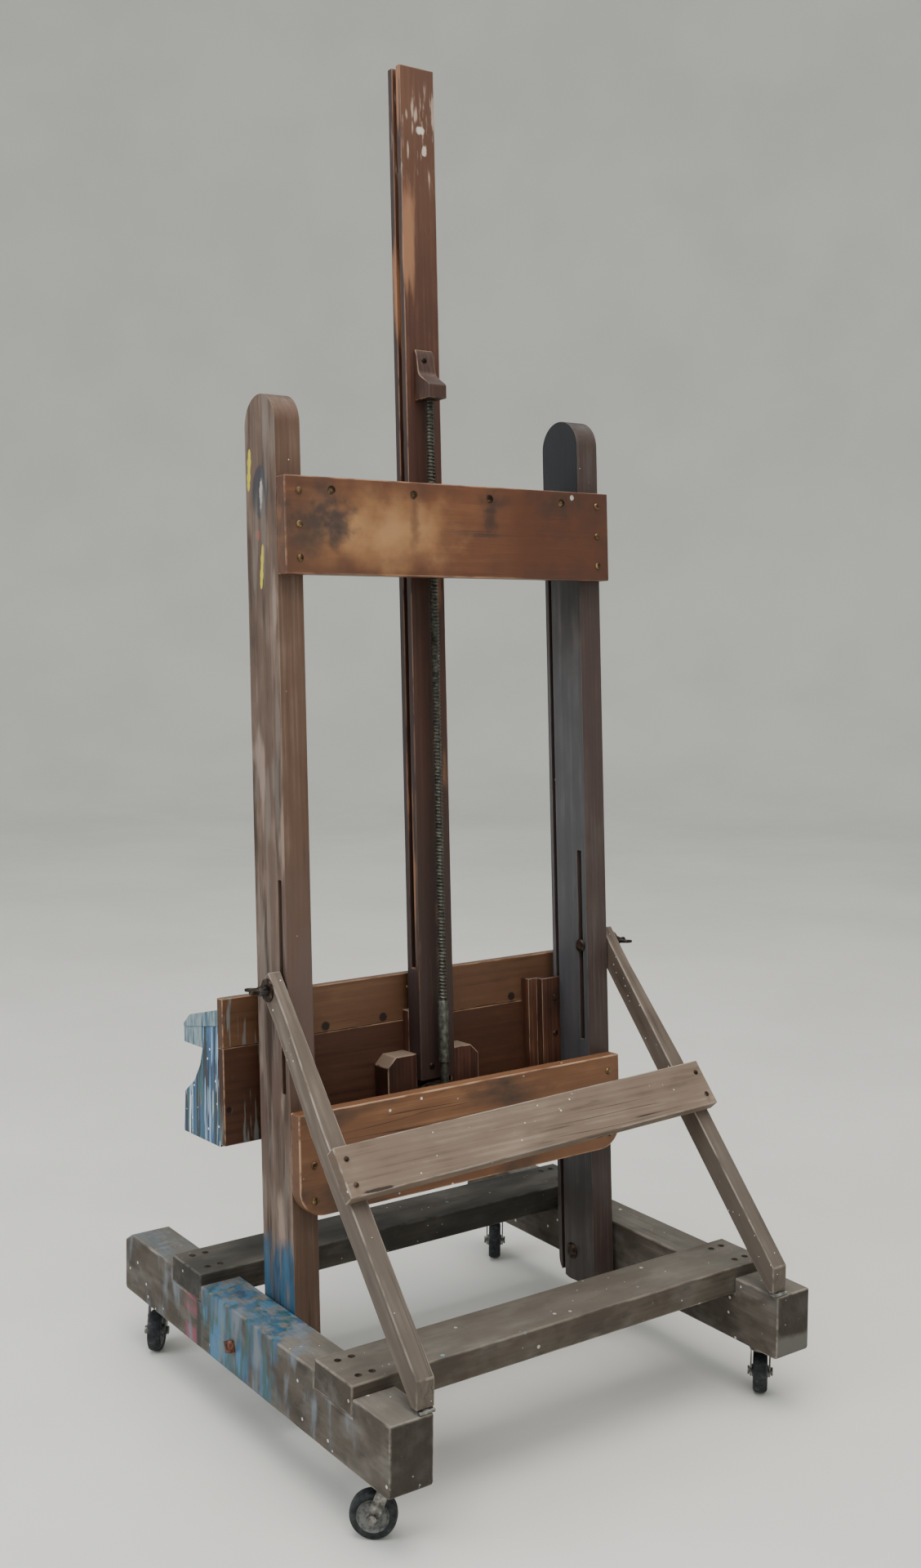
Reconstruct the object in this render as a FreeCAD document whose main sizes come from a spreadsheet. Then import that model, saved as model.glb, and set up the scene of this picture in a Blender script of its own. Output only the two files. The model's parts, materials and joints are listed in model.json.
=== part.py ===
# Crank-lifted studio easel: a wheeled base, a tilting frame of two grooved posts, a mast that a
# lead screw lifts together with its brush tray, and two folding braces that hold the tilt.
# Origin on the floor under the middle of the base; +Z up, -Y towards the painter.
import math
import os
import re

import FreeCAD
import Part
import Sketcher

os.makedirs("parts", exist_ok=True)
doc = FreeCAD.newDocument("easel")
sheet = doc.addObject("Spreadsheet::Sheet", "Sizes")

SIZES = [
    ("base_width", 700, "over the outer faces of the runners"),
    ("base_length", 735, "length of a runner"),
    ("runner_thick", 62, "width of a runner"),
    ("runner_depth", 89, "height of a runner"),
    ("runner_bottom", 80, "underside of the runners, and height of a caster"),
    ("runner_nose", 22, "bevel on a runner's front top corner"),
    ("runner_round", 7, "rounding of a runner's lower end corners"),
    ("rail_depth", 89, "width of a cross rail"),
    ("rail_thick", 38, "thickness of a cross rail"),
    ("rail_let_in", 22.5, "depth of the lap in the runner"),
    ("rear_rail_y", 239, "middle of the rear rail"),
    ("front_rail_y", -161.5, "middle of the front rail"),
    ("lap_gap", 0.15, "clearance at each side of a lap"),
    ("lap_screw_outer", 22, "outer lap screws in from the runner's outer face"),
    ("lap_screw_inner", 20, "inner lap screws out from the runner's inner face"),
    ("lap_screw_off", 24, "lap screws from the middle of the rail"),
    ("lap_screw_low", 1, "point of a lap screw above the bottom of the lap"),
    ("lap_screw_deep", 0.3, "head of a lap screw below the rail's top"),
    ("pivot_y", -22, "tilt axis, fore and aft"),
    ("pivot_z", 119, "tilt axis, above the floor"),
    ("lean", 3.02, "forward lean of the frame at rest, degrees"),
    ("post_outer", 281, "outer face of a post from the middle"),
    ("post_thick", 39, "thickness of a post"),
    ("post_inner", "=post_outer - post_thick", "inner face of a post from the middle"),
    ("post_depth", 84, "depth of a post"),
    ("post_front", -32.5, "front face of the posts from the tilt axis"),
    ("post_top", 1285, "crown of a post above the tilt axis"),
    ("post_foot", -45, "lower end of a post"),
    ("post_heel", 28, "rounding of a post's lower front corner"),
    ("groove_front", -25.5, "front wall of the post's groove"),
    ("groove_wide", 7.5, "width of the post's groove"),
    ("groove_deep", 10, "depth of the post's groove"),
    ("groove_stop", 1137, "upper end of the post's groove"),
    ("slot_centre", 36.5, "middle of the post's slot from the tilt axis"),
    ("slot_wide", 9.6, "width of the post's slot"),
    ("slot_low", 336, "lower end of the slot"),
    ("slot_high", 626, "upper end of the slot"),
    ("pivot_radius", 5, "radius of the pivot bolt"),
    ("pivot_head", 12, "radius of the pivot bolt's domed head"),
    ("pivot_head_thick", 5, "height of the pivot bolt's head"),
    ("nut_half", 8, "half width of a square nut"),
    ("nut_thick", 8, "thickness of a square nut"),
    ("spacer_radius", 17, "radius of the spacing washer beside a post"),
    ("fit_gap", 0.05, "radial clearance of a running fit"),
    ("face_gap", 0.2, "clearance between faces that slide"),
    ("board_thick", 23, "thickness of the crossboards"),
    ("upper_low", 1037, "lower edge of the upper crossboard"),
    ("upper_high", 1169, "upper edge of the upper crossboard"),
    ("lower_low", 173.6, "lower edge of the lower crossboard"),
    ("lower_high", 314, "upper edge of the lower crossboard"),
    ("lower_corner", 38, "rounding of the lower crossboard's bottom corners"),
    ("board_screw_x", 259, "crossboard screws from the middle"),
    ("screw_shank", 2.2, "radius of a wood screw"),
    ("screw_head", 4.6, "radius of a wood screw's head"),
    ("screw_proud", 2.2, "height of a screw head"),
    ("screw_gap", 0.15, "clearance round a screw"),
    ("recess_drop", 18, "recessed screws below the upper board's edge"),
    ("recess_deep", 3, "depth of the recess for such a screw"),
    ("recess_wide", 1.4, "clearance round its head"),
    ("mast_half", 30, "half width of the mast"),
    ("mast_front", -35.6, "front face of the mast"),
    ("mast_rear", -4.5, "rear face of the mast"),
    ("mast_top", 1785, "top of the mast"),
    ("mast_foot", 306, "foot of the mast"),
    ("mast_groove_front", -24.6, "front wall of the mast's side grooves"),
    ("mast_groove_wide", 10, "width of the mast's side grooves"),
    ("mast_groove_deep", 8, "depth of the mast's side grooves"),
    ("mast_groove_low", 470, "where the side grooves run out"),
    ("screw_v", 11.5, "lead screw's axis behind the tilt axis"),
    ("thread_radius", 6.4, "outer radius of the lead screw's thread"),
    ("sleeve_radius", 8, "radius of the plain stretch under the thread"),
    ("thread_low", 424, "lower end of the thread"),
    ("sleeve_low", 333, "lower end of the plain stretch"),
    ("spindle_radius", 6, "radius of the screw's lower journal"),
    ("block_low", 1299, "underside of the screw's top block"),
    ("block_high", 1373, "top of the screw's top block"),
    ("block_half", 15.5, "half width of the top block"),
    ("block_depth", 37, "depth of the top block"),
    ("block_shelf", 20, "height of the top block's full depth"),
    ("block_socket", 14, "depth of the screw's socket in the block"),
    ("block_hollow", 14, "hollow where the top block's shelf meets its back"),
    ("block_round", 5, "rounding of the top block's shelf"),
    ("head_low", 1130, "underside of the head rail"),
    ("head_high", 1171, "top of the head rail"),
    ("lift_nut_radius", 14, "radius of the lift nut"),
    ("guide_reach", 46, "width of a mast guide beside the mast"),
    ("gear_radius", 28, "radius of the screw's bevel gear"),
    ("gear_thick", 10, "thickness of the screw's bevel gear"),
    ("pinion_radius", 14, "radius of the crank's bevel pinion"),
    ("pinion_thick", 13, "length of the crank's bevel pinion"),
    ("mesh_gap", 1, "clearance between gear and pinion"),
    ("crank_h", 277, "crank shaft above the tilt axis"),
    ("crank_radius", 6, "radius of the crank shaft"),
    ("crank_front", -226, "front end of the crank shaft"),
    ("arm_length", 90, "throw of the crank"),
    ("arm_thick", 8, "thickness of the crank arm"),
    ("arm_half", 9, "half width of the crank arm"),
    ("grip_radius", 12, "radius of the crank's handle"),
    ("grip_length", 72, "length of the crank's handle"),
    ("yoke_radius", 75, "outer radius of the screw's arched bracket"),
    ("yoke_thick", 4, "thickness of the arched bracket"),
    ("yoke_top", 303.5, "crown of the arched bracket"),
    ("yoke_foot", 262, "foot of the arched bracket"),
    ("yoke_rear", 20.5, "rear edge of the arched bracket"),
    ("foot_block_reach", 81, "outer end of a mast foot block"),
    ("foot_block_top", 345, "top of a mast foot block"),
    ("foot_block_rear", -15, "rear face of a mast foot block"),
    ("foot_block_bevel", 14, "bevel on a mast foot block"),
    ("apron_half", 327, "half width of the apron and tray"),
    ("apron_front", -67, "front face of the apron"),
    ("apron_rear", -51.5, "rear face of the apron"),
    ("apron_low", 254, "lower edge of the apron"),
    ("apron_joint", 390, "joint between the apron's boards"),
    ("apron_high", 458, "upper edge of the apron"),
    ("joint_gap", 0.6, "open joint between the apron's boards"),
    ("batten_inner", 192, "inner face of a guide batten"),
    ("batten_outer", 223, "outer face of a guide batten"),
    ("batten_low", 262, "lower end of a guide batten"),
    ("batten_high", 425, "upper end of a guide batten"),
    ("tongue_gap", 0.6, "clearance of a tongue in its groove"),
    ("ledge_rear_h", 441, "top of the canvas ledge at the apron"),
    ("ledge_front_v", -154, "front of the ledge's top face"),
    ("ledge_front_h", 422, "height of the ledge's top face at its front"),
    ("ledge_tip_v", -173.7, "tip of the ledge's lip"),
    ("ledge_tip_h", 401, "underside of the lip at its tip"),
    ("ledge_under_h", 418, "underside of the ledge at the apron"),
    ("ledge_round", 11, "rounding of the ledge's front edge"),
    ("strip_front", -172, "front face of the strip under the ledge"),
    ("strip_rear", -115, "rear face of the strip under the ledge"),
    ("strip_low", 380, "underside of the strip under the ledge"),
    ("cheek_thick", 18, "thickness of a tray end cheek"),
    ("cheek_neck_h", 355, "narrowest height of the cheek's front edge"),
    ("cheek_shoulder_v", -173, "top of the cheek's front face, fore and aft"),
    ("cheek_shoulder_h", 309.5, "top of the cheek's front face"),
    ("cheek_neck_in", 9, "cheek's neck in front of the strip's rear face"),
    ("cheek_swell_out", 28.5, "cheek's swell in front of the strip's rear face"),
    ("cheek_swell_drop", 26, "cheek's swell below its neck"),
    ("cheek_neck_round", 18, "rounding at a cheek's neck"),
    ("cheek_swell_round", 12, "rounding at a cheek's swell"),
    ("cheek_shoulder_round", 5, "rounding at a cheek's shoulder"),
    ("tray_front", -179, "front of the brush tray"),
    ("tray_low", 250, "underside of the brush tray"),
    ("tray_thick", 12, "thickness of the tray's bottom"),
    ("tray_wall", 16, "thickness of the tray's front board"),
    ("hinge_y", 364.6, "foot hinge pin, fore and aft"),
    ("knuckle_radius", 2.4, "radius of a foot hinge's knuckle"),
    ("hinge_pin", 1, "radius of a foot hinge's pin"),
    ("leaf_thick", 1.8, "thickness of a hinge leaf"),
    ("leaf_reach", 12, "far edge of a hinge leaf from its pin"),
    ("leaf_root", 4, "where a knuckle's tab meets its leaf"),
    ("brace_inner", 283.5, "inner face of a brace"),
    ("brace_thick", 26, "thickness of a brace"),
    ("brace_thin", 19, "thickness of a brace at its upper end"),
    ("brace_thin_length", 70, "length of the thinned end"),
    ("brace_taper_length", 160, "length of the taper below it"),
    ("brace_depth", 32, "depth of a brace"),
    ("brace_rear", 23.1, "rear face of a brace from its hinge"),
    ("brace_past", 18, "brace beyond the lock bolt"),
    ("bolt_rest", 480, "lock bolt above the tilt axis at rest"),
    ("bolt_radius", 4, "radius of the lock bolt"),
    ("bolt_slack", 3.0, "slack of the lock bolt in the brace"),
    ("bolt_head", 10, "radius of the lock bolt's head"),
    ("bolt_head_thick", 5.5, "height of the lock bolt's head"),
    ("bolt_end", 330, "outer end of the lock bolt"),
    ("washer_radius", 16, "radius of the lock washer"),
    ("washer_thick", 2.4, "thickness of the lock washer"),
    ("wing_hub", 7.5, "radius of the wing nut's hub"),
    ("wing_hub_length", 13, "length of the wing nut's hub"),
    ("wing_span", 25, "reach of a wing"),
    ("wing_thick", 4.5, "thickness of a wing"),
    ("tie_low_right", 254, "lower edge of the brace crossboard, right end"),
    ("tie_low_left", 270, "lower edge of the brace crossboard, left end"),
    ("tie_wide", 69, "width of the brace crossboard"),
    ("tie_thick", 19, "thickness of the brace crossboard"),
    ("tie_half", 316, "half length of the brace crossboard"),
    ("nail_x", 303, "crossboard nails from the middle"),
    ("nail_shank", 1.5, "radius of a nail"),
    ("nail_head", 3.6, "radius of a nail's head"),
    ("caster_inset", 34, "caster's swivel axis in from the runner's outer face"),
    ("caster_x", "=base_width / 2 - caster_inset", "caster's swivel axis from the middle"),
    ("rear_caster_y", 310, "rear casters, fore and aft"),
    ("front_caster_y", -322, "front casters, fore and aft"),
    ("caster_plate_half", 25, "half length of a caster's top plate"),
    ("caster_plate_side", 20, "half width of a caster's top plate"),
    ("caster_plate_thick", 2.5, "thickness of a caster's top plate"),
    ("race_radius", 15, "radius of a caster's ball race"),
    ("race_low", 73.1, "underside of a caster's ball race"),
    ("kingpin_radius", 4, "radius of a caster's kingpin"),
    ("kingpin_low", 66, "lower end of a caster's kingpin"),
    ("fork_top", 72.8, "top of a caster's fork"),
    ("fork_crown", 70, "underside of the fork's crown"),
    ("fork_crown_radius", 16, "radius of the fork's crown"),
    ("fork_thick", 2, "thickness of a fork leg"),
    ("fork_boss", 8, "radius of a fork leg round the axle"),
    ("wheel_radius", 29.5, "radius of a caster's wheel"),
    ("wheel_wide", 20, "width of a caster's tyre"),
    ("hub_wide", 23.6, "width of a wheel's hub"),
    ("hub_radius", 8.5, "radius of a wheel's hub"),
    ("hub_gap", 0.4, "gap between hub and fork"),
    ("caster_trail", 16, "axle behind the swivel axis"),
    ("axle_radius", 3.2, "radius of a caster's axle"),
]
size = {}
for row, (name, value, note) in enumerate(SIZES, 1):
    sheet.set(f"A{row}", note)
    sheet.set(f"B{row}", str(value))
    sheet.setAlias(f"B{row}", name)
doc.recompute()
for name, value, note in SIZES:
    size[name] = float(sheet.get(name))

NAMES = re.compile(r"\b(" + "|".join(sorted(size, key=len, reverse=True)) + r")\b")

# Frames of reference: place of the origin (as expressions), turning axis and angle.
X_AXIS = FreeCAD.Vector(1, 0, 0)
Z_AXIS = FreeCAD.Vector(0, 0, 1)
RUNNER_TOP = "(runner_bottom + runner_depth)"
HINGE_Z = f"({RUNNER_TOP} + knuckle_radius + 0.1)"
BOLT_Y = "(pivot_y + slot_centre * cos(lean) - bolt_rest * sin(lean))"
BOLT_Z = "(pivot_z + slot_centre * sin(lean) + bolt_rest * cos(lean))"
BRACE_MID = "(brace_rear - brace_depth / 2)"
BRACE_REACH = f"sqrt(({BOLT_Y} - hinge_y)^2 + ({BOLT_Z} - {HINGE_Z})^2 - {BRACE_MID}^2)"
BRACE_LEAN = (f"(atan((hinge_y - {BOLT_Y}) / ({BOLT_Z} - {HINGE_Z}))"
              f" + atan({BRACE_MID} / {BRACE_REACH}))")
BASE = ("0", "0", "0", X_AXIS, "0")
TILT = ("0", "pivot_y", "pivot_z", X_AXIS, "lean")
HINGE = ("0", "hinge_y", HINGE_Z, X_AXIS, "0")
BRACE = ("0", "hinge_y", HINGE_Z, X_AXIS, BRACE_LEAN)


def cell(text):
    """A sheet expression with every size name pointing at its cell."""
    return NAMES.sub(r"Sizes.\1", text)


def new_body(label, frame):
    """An empty body with its own label, placed in a frame of reference."""
    x, y, z, axis, angle = frame
    body = doc.addObject("PartDesign::Body", label)
    body.Label = label
    body.AllowCompound = True
    body.Placement = FreeCAD.Placement(FreeCAD.Vector(), FreeCAD.Rotation(axis, 1))
    body.setExpression("Placement.Base.x", cell(x))
    body.setExpression("Placement.Base.y", cell(y))
    body.setExpression("Placement.Base.z", cell(z))
    body.setExpression("Placement.Rotation.Angle", cell(angle))
    return body


def new_sketch(body, plane, offset):
    """A sketch on one of the body's own planes, moved along the plane's axis."""
    drawing = body.newObject("Sketcher::SketchObject", body.Label + "_sketch")
    drawing.AttachmentSupport = (
        next(f for f in body.Origin.OriginFeatures if f.Role == plane), [""])
    drawing.MapMode = "FlatFace"
    sign = "-" if plane == "XZ_Plane" else ""
    drawing.setExpression("AttachmentOffset.Base.z", cell(f"{sign}({offset})"))
    return drawing


def pin_point(drawing, edge, end, point):
    """Ties an end or centre of a sketch's edge to two sheet expressions."""
    for kind, text in zip(("DistanceX", "DistanceY"), point):
        index = drawing.addConstraint(Sketcher.Constraint(kind, edge, end, 1.0))
        drawing.setExpression(f"Constraints[{index}]", cell(text))


def draw(drawing, shapes):
    """Circles (x, y, radius) and closed outlines [(x, y), ...], all in sheet expressions."""
    for number, shape in enumerate(shapes):
        if isinstance(shape, tuple):
            middle = FreeCAD.Vector(number + 1, 1, 0)
            edge = drawing.addGeometry(Part.Circle(middle, Z_AXIS, 1), False)
            pin_point(drawing, edge, 3, shape[:2])
            index = drawing.addConstraint(Sketcher.Constraint("Radius", edge, 1.0))
            drawing.setExpression(f"Constraints[{index}]", cell(shape[2]))
            continue
        count = len(shape)
        spots = [FreeCAD.Vector(math.cos(6.28 * i / count), math.sin(6.28 * i / count), 0)
                 for i in range(count)]
        edges = [drawing.addGeometry(Part.LineSegment(spots[i], spots[(i + 1) % count]), False)
                 for i in range(count)]
        for i, point in enumerate(shape):
            drawing.addConstraint(
                Sketcher.Constraint("Coincident", edges[i - 1], 2, edges[i], 1))
            pin_point(drawing, edges[i], 1, point)


def add(body, plane, low, high, *shapes):
    """Pads shapes on a plane from low to high along the plane's axis."""
    drawing = new_sketch(body, plane, low)
    draw(drawing, shapes)
    feature = body.newObject("PartDesign::Pad", body.Label + "_pad")
    feature.Profile = drawing
    feature.Reversed = plane == "XZ_Plane"
    feature.setExpression("Length", cell(f"({high}) - ({low})"))
    drawing.Visibility = False
    return body


def cut(body, plane, low, high, *shapes):
    """Pockets shapes on a plane from low to high along the plane's axis."""
    doc.recompute()
    before = body.Shape.Volume
    drawing = new_sketch(body, plane, low)
    draw(drawing, shapes)
    feature = body.newObject("PartDesign::Pocket", body.Label + "_pocket")
    feature.Profile = drawing
    feature.Reversed = plane != "XZ_Plane"
    feature.setExpression("Length", cell(f"({high}) - ({low})"))
    doc.recompute()
    if not body.Shape.Volume < before - 1e-6:
        raise RuntimeError(body.Label + ": a pocket cuts nothing")
    return body


def round_edges(body, radius, along, *spots):
    """Fillets the edges that run along one axis through the given spots."""
    doc.recompute()
    solid = body.Tip
    picked = []
    for number, edge in enumerate(solid.Shape.Edges, 1):
        middle = edge.BoundBox.Center
        straight = isinstance(edge.Curve, Part.Line)
        flat = [middle[i] for i in range(3) if i != along]
        if straight and abs(edge.tangentAt(edge.FirstParameter)[along]) > 0.99:
            if any(math.hypot(flat[0] - a, flat[1] - b) < 1.5 for a, b in spots):
                picked.append(f"Edge{number}")
    feature = body.newObject("PartDesign::Fillet", body.Label + "_fillet")
    feature.Base = (solid, picked)
    feature.setExpression("Radius", cell(radius))
    return body


def box(low_a, high_a, low_b, high_b):
    """Corners of a rectangle."""
    return [(low_a, low_b), (high_a, low_b), (high_a, high_b), (low_a, high_b)]


def span(sign, inner, outer):
    """Range along X on the right (sign 1) or, mirrored, on the left (sign -1)."""
    return (inner, outer) if sign > 0 else (f"-({outer})", f"-({inner})")


SIDES = (("right", 1), ("left", -1))

# ---------------------------------------------------------------- base
RUNNER_INNER = "(base_width / 2 - runner_thick)"
RAIL_LOW = f"({RUNNER_TOP} - rail_let_in)"
RAIL_HIGH = f"({RAIL_LOW} + rail_thick)"
LAP_X = ("base_width / 2 - lap_screw_outer", f"{RUNNER_INNER} + lap_screw_inner")
LAP_Y = ("{0} - lap_screw_off", "{0} + lap_screw_off")


def lap_spots(rails=("front_rail_y", "rear_rail_y"), sides=(1, -1)):
    """Places of the screws through each lap."""
    return [(f"{sign} * ({x})", y.format(rail)) for rail in rails for sign in sides
            for x in LAP_X for y in LAP_Y]


for side, sign in SIDES:
    low, high = span(sign, RUNNER_INNER, "base_width / 2")
    runner = new_body(f"base_runner_{side}", BASE)
    add(runner, "YZ_Plane", low, high, [
        ("-base_length / 2", "runner_bottom"), ("base_length / 2", "runner_bottom"),
        ("base_length / 2", RUNNER_TOP), ("-base_length / 2 + runner_nose", RUNNER_TOP),
        ("-base_length / 2", f"{RUNNER_TOP} - runner_nose * 0.6")])
    half = size["base_length"] / 2
    round_edges(runner, "runner_round", 0, (half, size["runner_bottom"]),
                (-half, size["runner_bottom"]))
    for rail in ("front_rail_y", "rear_rail_y"):
        cut(runner, "YZ_Plane", low, high,
            box(f"{rail} - rail_depth / 2 - lap_gap", f"{rail} + rail_depth / 2 + lap_gap",
                RAIL_LOW, f"{RUNNER_TOP} + 5"))
    cut(runner, "YZ_Plane", low, high, ("pivot_y", "pivot_z", "pivot_radius + fit_gap"))

for name, rail in (("front", "front_rail_y"), ("rear", "rear_rail_y")):
    board = new_body(f"base_rail_{name}", BASE)
    add(board, "XY_Plane", RAIL_LOW, RAIL_HIGH,
        box("-base_width / 2", "base_width / 2",
            f"{rail} - rail_depth / 2", f"{rail} + rail_depth / 2"))
    cut(board, "XY_Plane", RAIL_LOW, RAIL_HIGH,
        *[(x, y, "screw_shank + screw_gap") for x, y in lap_spots((rail,))])
    cut(board, "XY_Plane", f"{RAIL_HIGH} - screw_proud", RAIL_HIGH,
        *[(x, y, "screw_head + screw_gap") for x, y in lap_spots((rail,))])

screws = new_body("base_lap_screws", BASE)
add(screws, "XY_Plane", f"{RAIL_LOW} + lap_screw_low", f"{RAIL_HIGH} - screw_proud + 0.05",
    *[(x, y, "screw_shank") for x, y in lap_spots()])
add(screws, "XY_Plane", f"{RAIL_HIGH} - screw_proud + 0.05", f"{RAIL_HIGH} - lap_screw_deep",
    *[(x, y, "screw_head") for x, y in lap_spots()])

# ---------------------------------------------------------------- pivot of the tilting frame
POST_OUTER = "post_outer"
bolts = new_body("pivot_bolts", BASE)
nuts = new_body("pivot_nuts", BASE)
spacers = new_body("pivot_spacers", BASE)
for side, sign in SIDES:
    add(bolts, "YZ_Plane", *span(sign, "post_inner - face_gap", "base_width / 2 + nut_thick + 1"),
        ("pivot_y", "pivot_z", "pivot_radius"))
    add(bolts, "YZ_Plane",
        *span(sign, "post_inner - face_gap - pivot_head_thick", "post_inner - face_gap"),
        ("pivot_y", "pivot_z", "pivot_head"))
    add(nuts, "YZ_Plane", *span(sign, "base_width / 2", "base_width / 2 + nut_thick"),
        box("pivot_y - nut_half", "pivot_y + nut_half",
            "pivot_z - nut_half", "pivot_z + nut_half"))
    cut(nuts, "YZ_Plane", *span(sign, "base_width / 2", "base_width / 2 + nut_thick"),
        ("pivot_y", "pivot_z", "pivot_radius + fit_gap"))
    add(spacers, "YZ_Plane", *span(sign, f"{POST_OUTER} + face_gap", f"{RUNNER_INNER} - 0.05"),
        ("pivot_y", "pivot_z", "spacer_radius"))
    cut(spacers, "YZ_Plane", *span(sign, f"{POST_OUTER} + face_gap", f"{RUNNER_INNER} - 0.05"),
        ("pivot_y", "pivot_z", "pivot_radius + fit_gap"))

# ---------------------------------------------------------------- posts and crossboards
POST_REAR = "(post_front + post_depth)"
POST_MID = "(post_front + post_depth / 2)"
for side, sign in SIDES:
    low, high = span(sign, "post_inner", POST_OUTER)
    post = new_body(f"post_{side}", TILT)
    add(post, "YZ_Plane", low, high,
        box("post_front", POST_REAR, "post_foot", "post_top - post_depth / 2"))
    round_edges(post, "post_heel", 0, (size["post_front"], size["post_foot"]))
    add(post, "YZ_Plane", low, high, (POST_MID, "post_top - post_depth / 2", "post_depth / 2"))
    cut(post, "YZ_Plane", low, high, ("0", "0", "pivot_radius + fit_gap"))
    cut(post, "YZ_Plane", low, high,
        box("slot_centre - slot_wide / 2", "slot_centre + slot_wide / 2",
            "slot_low", "slot_high"))
    cut(post, "YZ_Plane", *span(sign, "post_inner", "post_inner + groove_deep"),
        box("groove_front", "groove_front + groove_wide", "post_foot", "groove_stop"))

BOARD_REAR = f"({POST_REAR} + board_thick)"
SCREW_X = ("board_screw_x", "-board_screw_x")
# Screws below the board's upper edge, and places of the recessed screws along the upper board.
UPPER_DROPS = (20, 65, 110)
LOWER_DROPS = (23, 70, 118)
RECESSED_X = ("208", "74", "-58", "-191")
UPPER_SCREWS = [(x, f"upper_high - {drop}") for x in SCREW_X for drop in UPPER_DROPS]
LOWER_SCREWS = [(x, f"lower_high - {drop}") for x in SCREW_X for drop in LOWER_DROPS]
RING_SCREWS = [(x, "upper_high - recess_drop") for x in RECESSED_X]
upper = new_body("crossboard_upper", TILT)
add(upper, "XZ_Plane", POST_REAR, BOARD_REAR,
    box(f"-{POST_OUTER}", POST_OUTER, "upper_low", "upper_high"))
cut(upper, "XZ_Plane", POST_REAR, BOARD_REAR,
    *[(x, h, "screw_shank + screw_gap") for x, h in UPPER_SCREWS + RING_SCREWS])
cut(upper, "XZ_Plane", f"{BOARD_REAR} - recess_deep", BOARD_REAR,
    *[(x, h, "screw_head + recess_wide") for x, h in RING_SCREWS])
lower = new_body("crossboard_lower", TILT)
add(lower, "XZ_Plane", POST_REAR, BOARD_REAR,
    box(f"-{POST_OUTER}", POST_OUTER, "lower_low", "lower_high"))
outer = size["post_outer"]
round_edges(lower, "lower_corner", 1, (outer, size["lower_low"]), (-outer, size["lower_low"]))
cut(lower, "XZ_Plane", POST_REAR, BOARD_REAR,
    *[(x, h, "screw_shank + screw_gap") for x, h in LOWER_SCREWS])

screws = new_body("crossboard_screws", TILT)
add(screws, "XZ_Plane", f"{POST_REAR} + 0.2", f"{BOARD_REAR} + 0.1",
    *[(x, h, "screw_shank") for x, h in UPPER_SCREWS + LOWER_SCREWS])
add(screws, "XZ_Plane", f"{BOARD_REAR} + 0.1", f"{BOARD_REAR} + screw_proud",
    *[(x, h, "screw_head") for x, h in UPPER_SCREWS + LOWER_SCREWS])
add(screws, "XZ_Plane", f"{POST_REAR} + 0.2", f"{BOARD_REAR} - recess_deep + 0.1",
    *[(x, h, "screw_shank") for x, h in RING_SCREWS])
add(screws, "XZ_Plane", f"{BOARD_REAR} - recess_deep + 0.1",
    f"{BOARD_REAR} - recess_deep + screw_proud",
    *[(x, h, "screw_head") for x, h in RING_SCREWS])

# The head rail lies behind the upper crossboard, carries the lift nut and guides the mast.
HEAD_FRONT = "(mast_rear + 0.6)"
head = new_body("head_rail", TILT)
add(head, "XY_Plane", "head_low", "head_high",
    box("-post_inner + face_gap", "post_inner - face_gap", HEAD_FRONT, POST_REAR))
cut(head, "XY_Plane", "head_low", "head_high", ("0", "screw_v", "lift_nut_radius + fit_gap"))
nut = new_body("lift_nut", TILT)
add(nut, "XY_Plane", "head_low", "head_high", ("0", "screw_v", "lift_nut_radius"))
cut(nut, "XY_Plane", "head_low", "head_high", ("0", "screw_v", "thread_radius + fit_gap"))

GROOVE_REAR = "(mast_groove_front + mast_groove_wide)"
guides = new_body("mast_guides", TILT)
for side, sign in SIDES:
    mirror = "" if sign > 0 else "-"
    inner = f"{mirror}(mast_half - mast_groove_deep + 1)"
    side_face = f"{mirror}(mast_half + 0.8)"
    far = f"{mirror}(mast_half + guide_reach)"
    add(guides, "XY_Plane", "head_low", "head_high", [
        (side_face, "mast_front"), (far, "mast_front"), (far, HEAD_FRONT),
        (side_face, HEAD_FRONT), (side_face, f"{GROOVE_REAR} - 0.7"),
        (inner, f"{GROOVE_REAR} - 0.7"), (inner, "mast_groove_front + 0.7"),
        (side_face, "mast_groove_front + 0.7")])

# ---------------------------------------------------------------- mast and lead screw
mast = new_body("mast", TILT)
add(mast, "XY_Plane", "mast_foot", "mast_top",
    box("-mast_half", "mast_half", "mast_front", "mast_rear"))
for side, sign in SIDES:
    cut(mast, "XY_Plane", "mast_groove_low", "mast_top",
        box(*span(sign, "mast_half - mast_groove_deep", "mast_half + 1"),
            "mast_groove_front", GROOVE_REAR))

block = new_body("screw_top_block", TILT)
BLOCK_REAR = "(mast_rear + block_depth)"
add(block, "YZ_Plane", "-block_half", "block_half", [
    ("mast_rear", "block_low"), (BLOCK_REAR, "block_low"),
    (BLOCK_REAR, "block_low + block_shelf"), ("mast_rear + 11", "block_low + block_shelf + 17"),
    ("mast_rear + 7", "block_high - 9"), ("mast_rear + 3", "block_high"),
    ("mast_rear", "block_high")])
rear = size["mast_rear"]
shelf = size["block_low"] + size["block_shelf"]
round_edges(block, "block_hollow", 0, (rear + 11, shelf + 17))
round_edges(block, "block_round", 0, (rear + size["block_depth"], shelf))
cut(block, "XY_Plane", "block_low", "block_low + block_socket",
    ("0", "screw_v", "thread_radius + fit_gap"))

screw = new_body("lead_screw", TILT)
add(screw, "XY_Plane", "thread_low", "block_low + block_socket - 1",
    ("0", "screw_v", "thread_radius"))
add(screw, "XY_Plane", "sleeve_low", "thread_low", ("0", "screw_v", "sleeve_radius"))
GEAR_TOP = "(crank_h - pinion_radius - mesh_gap)"
add(screw, "XY_Plane", f"{GEAR_TOP} - gear_thick - 2", "sleeve_low",
    ("0", "screw_v", "spindle_radius"))

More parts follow.
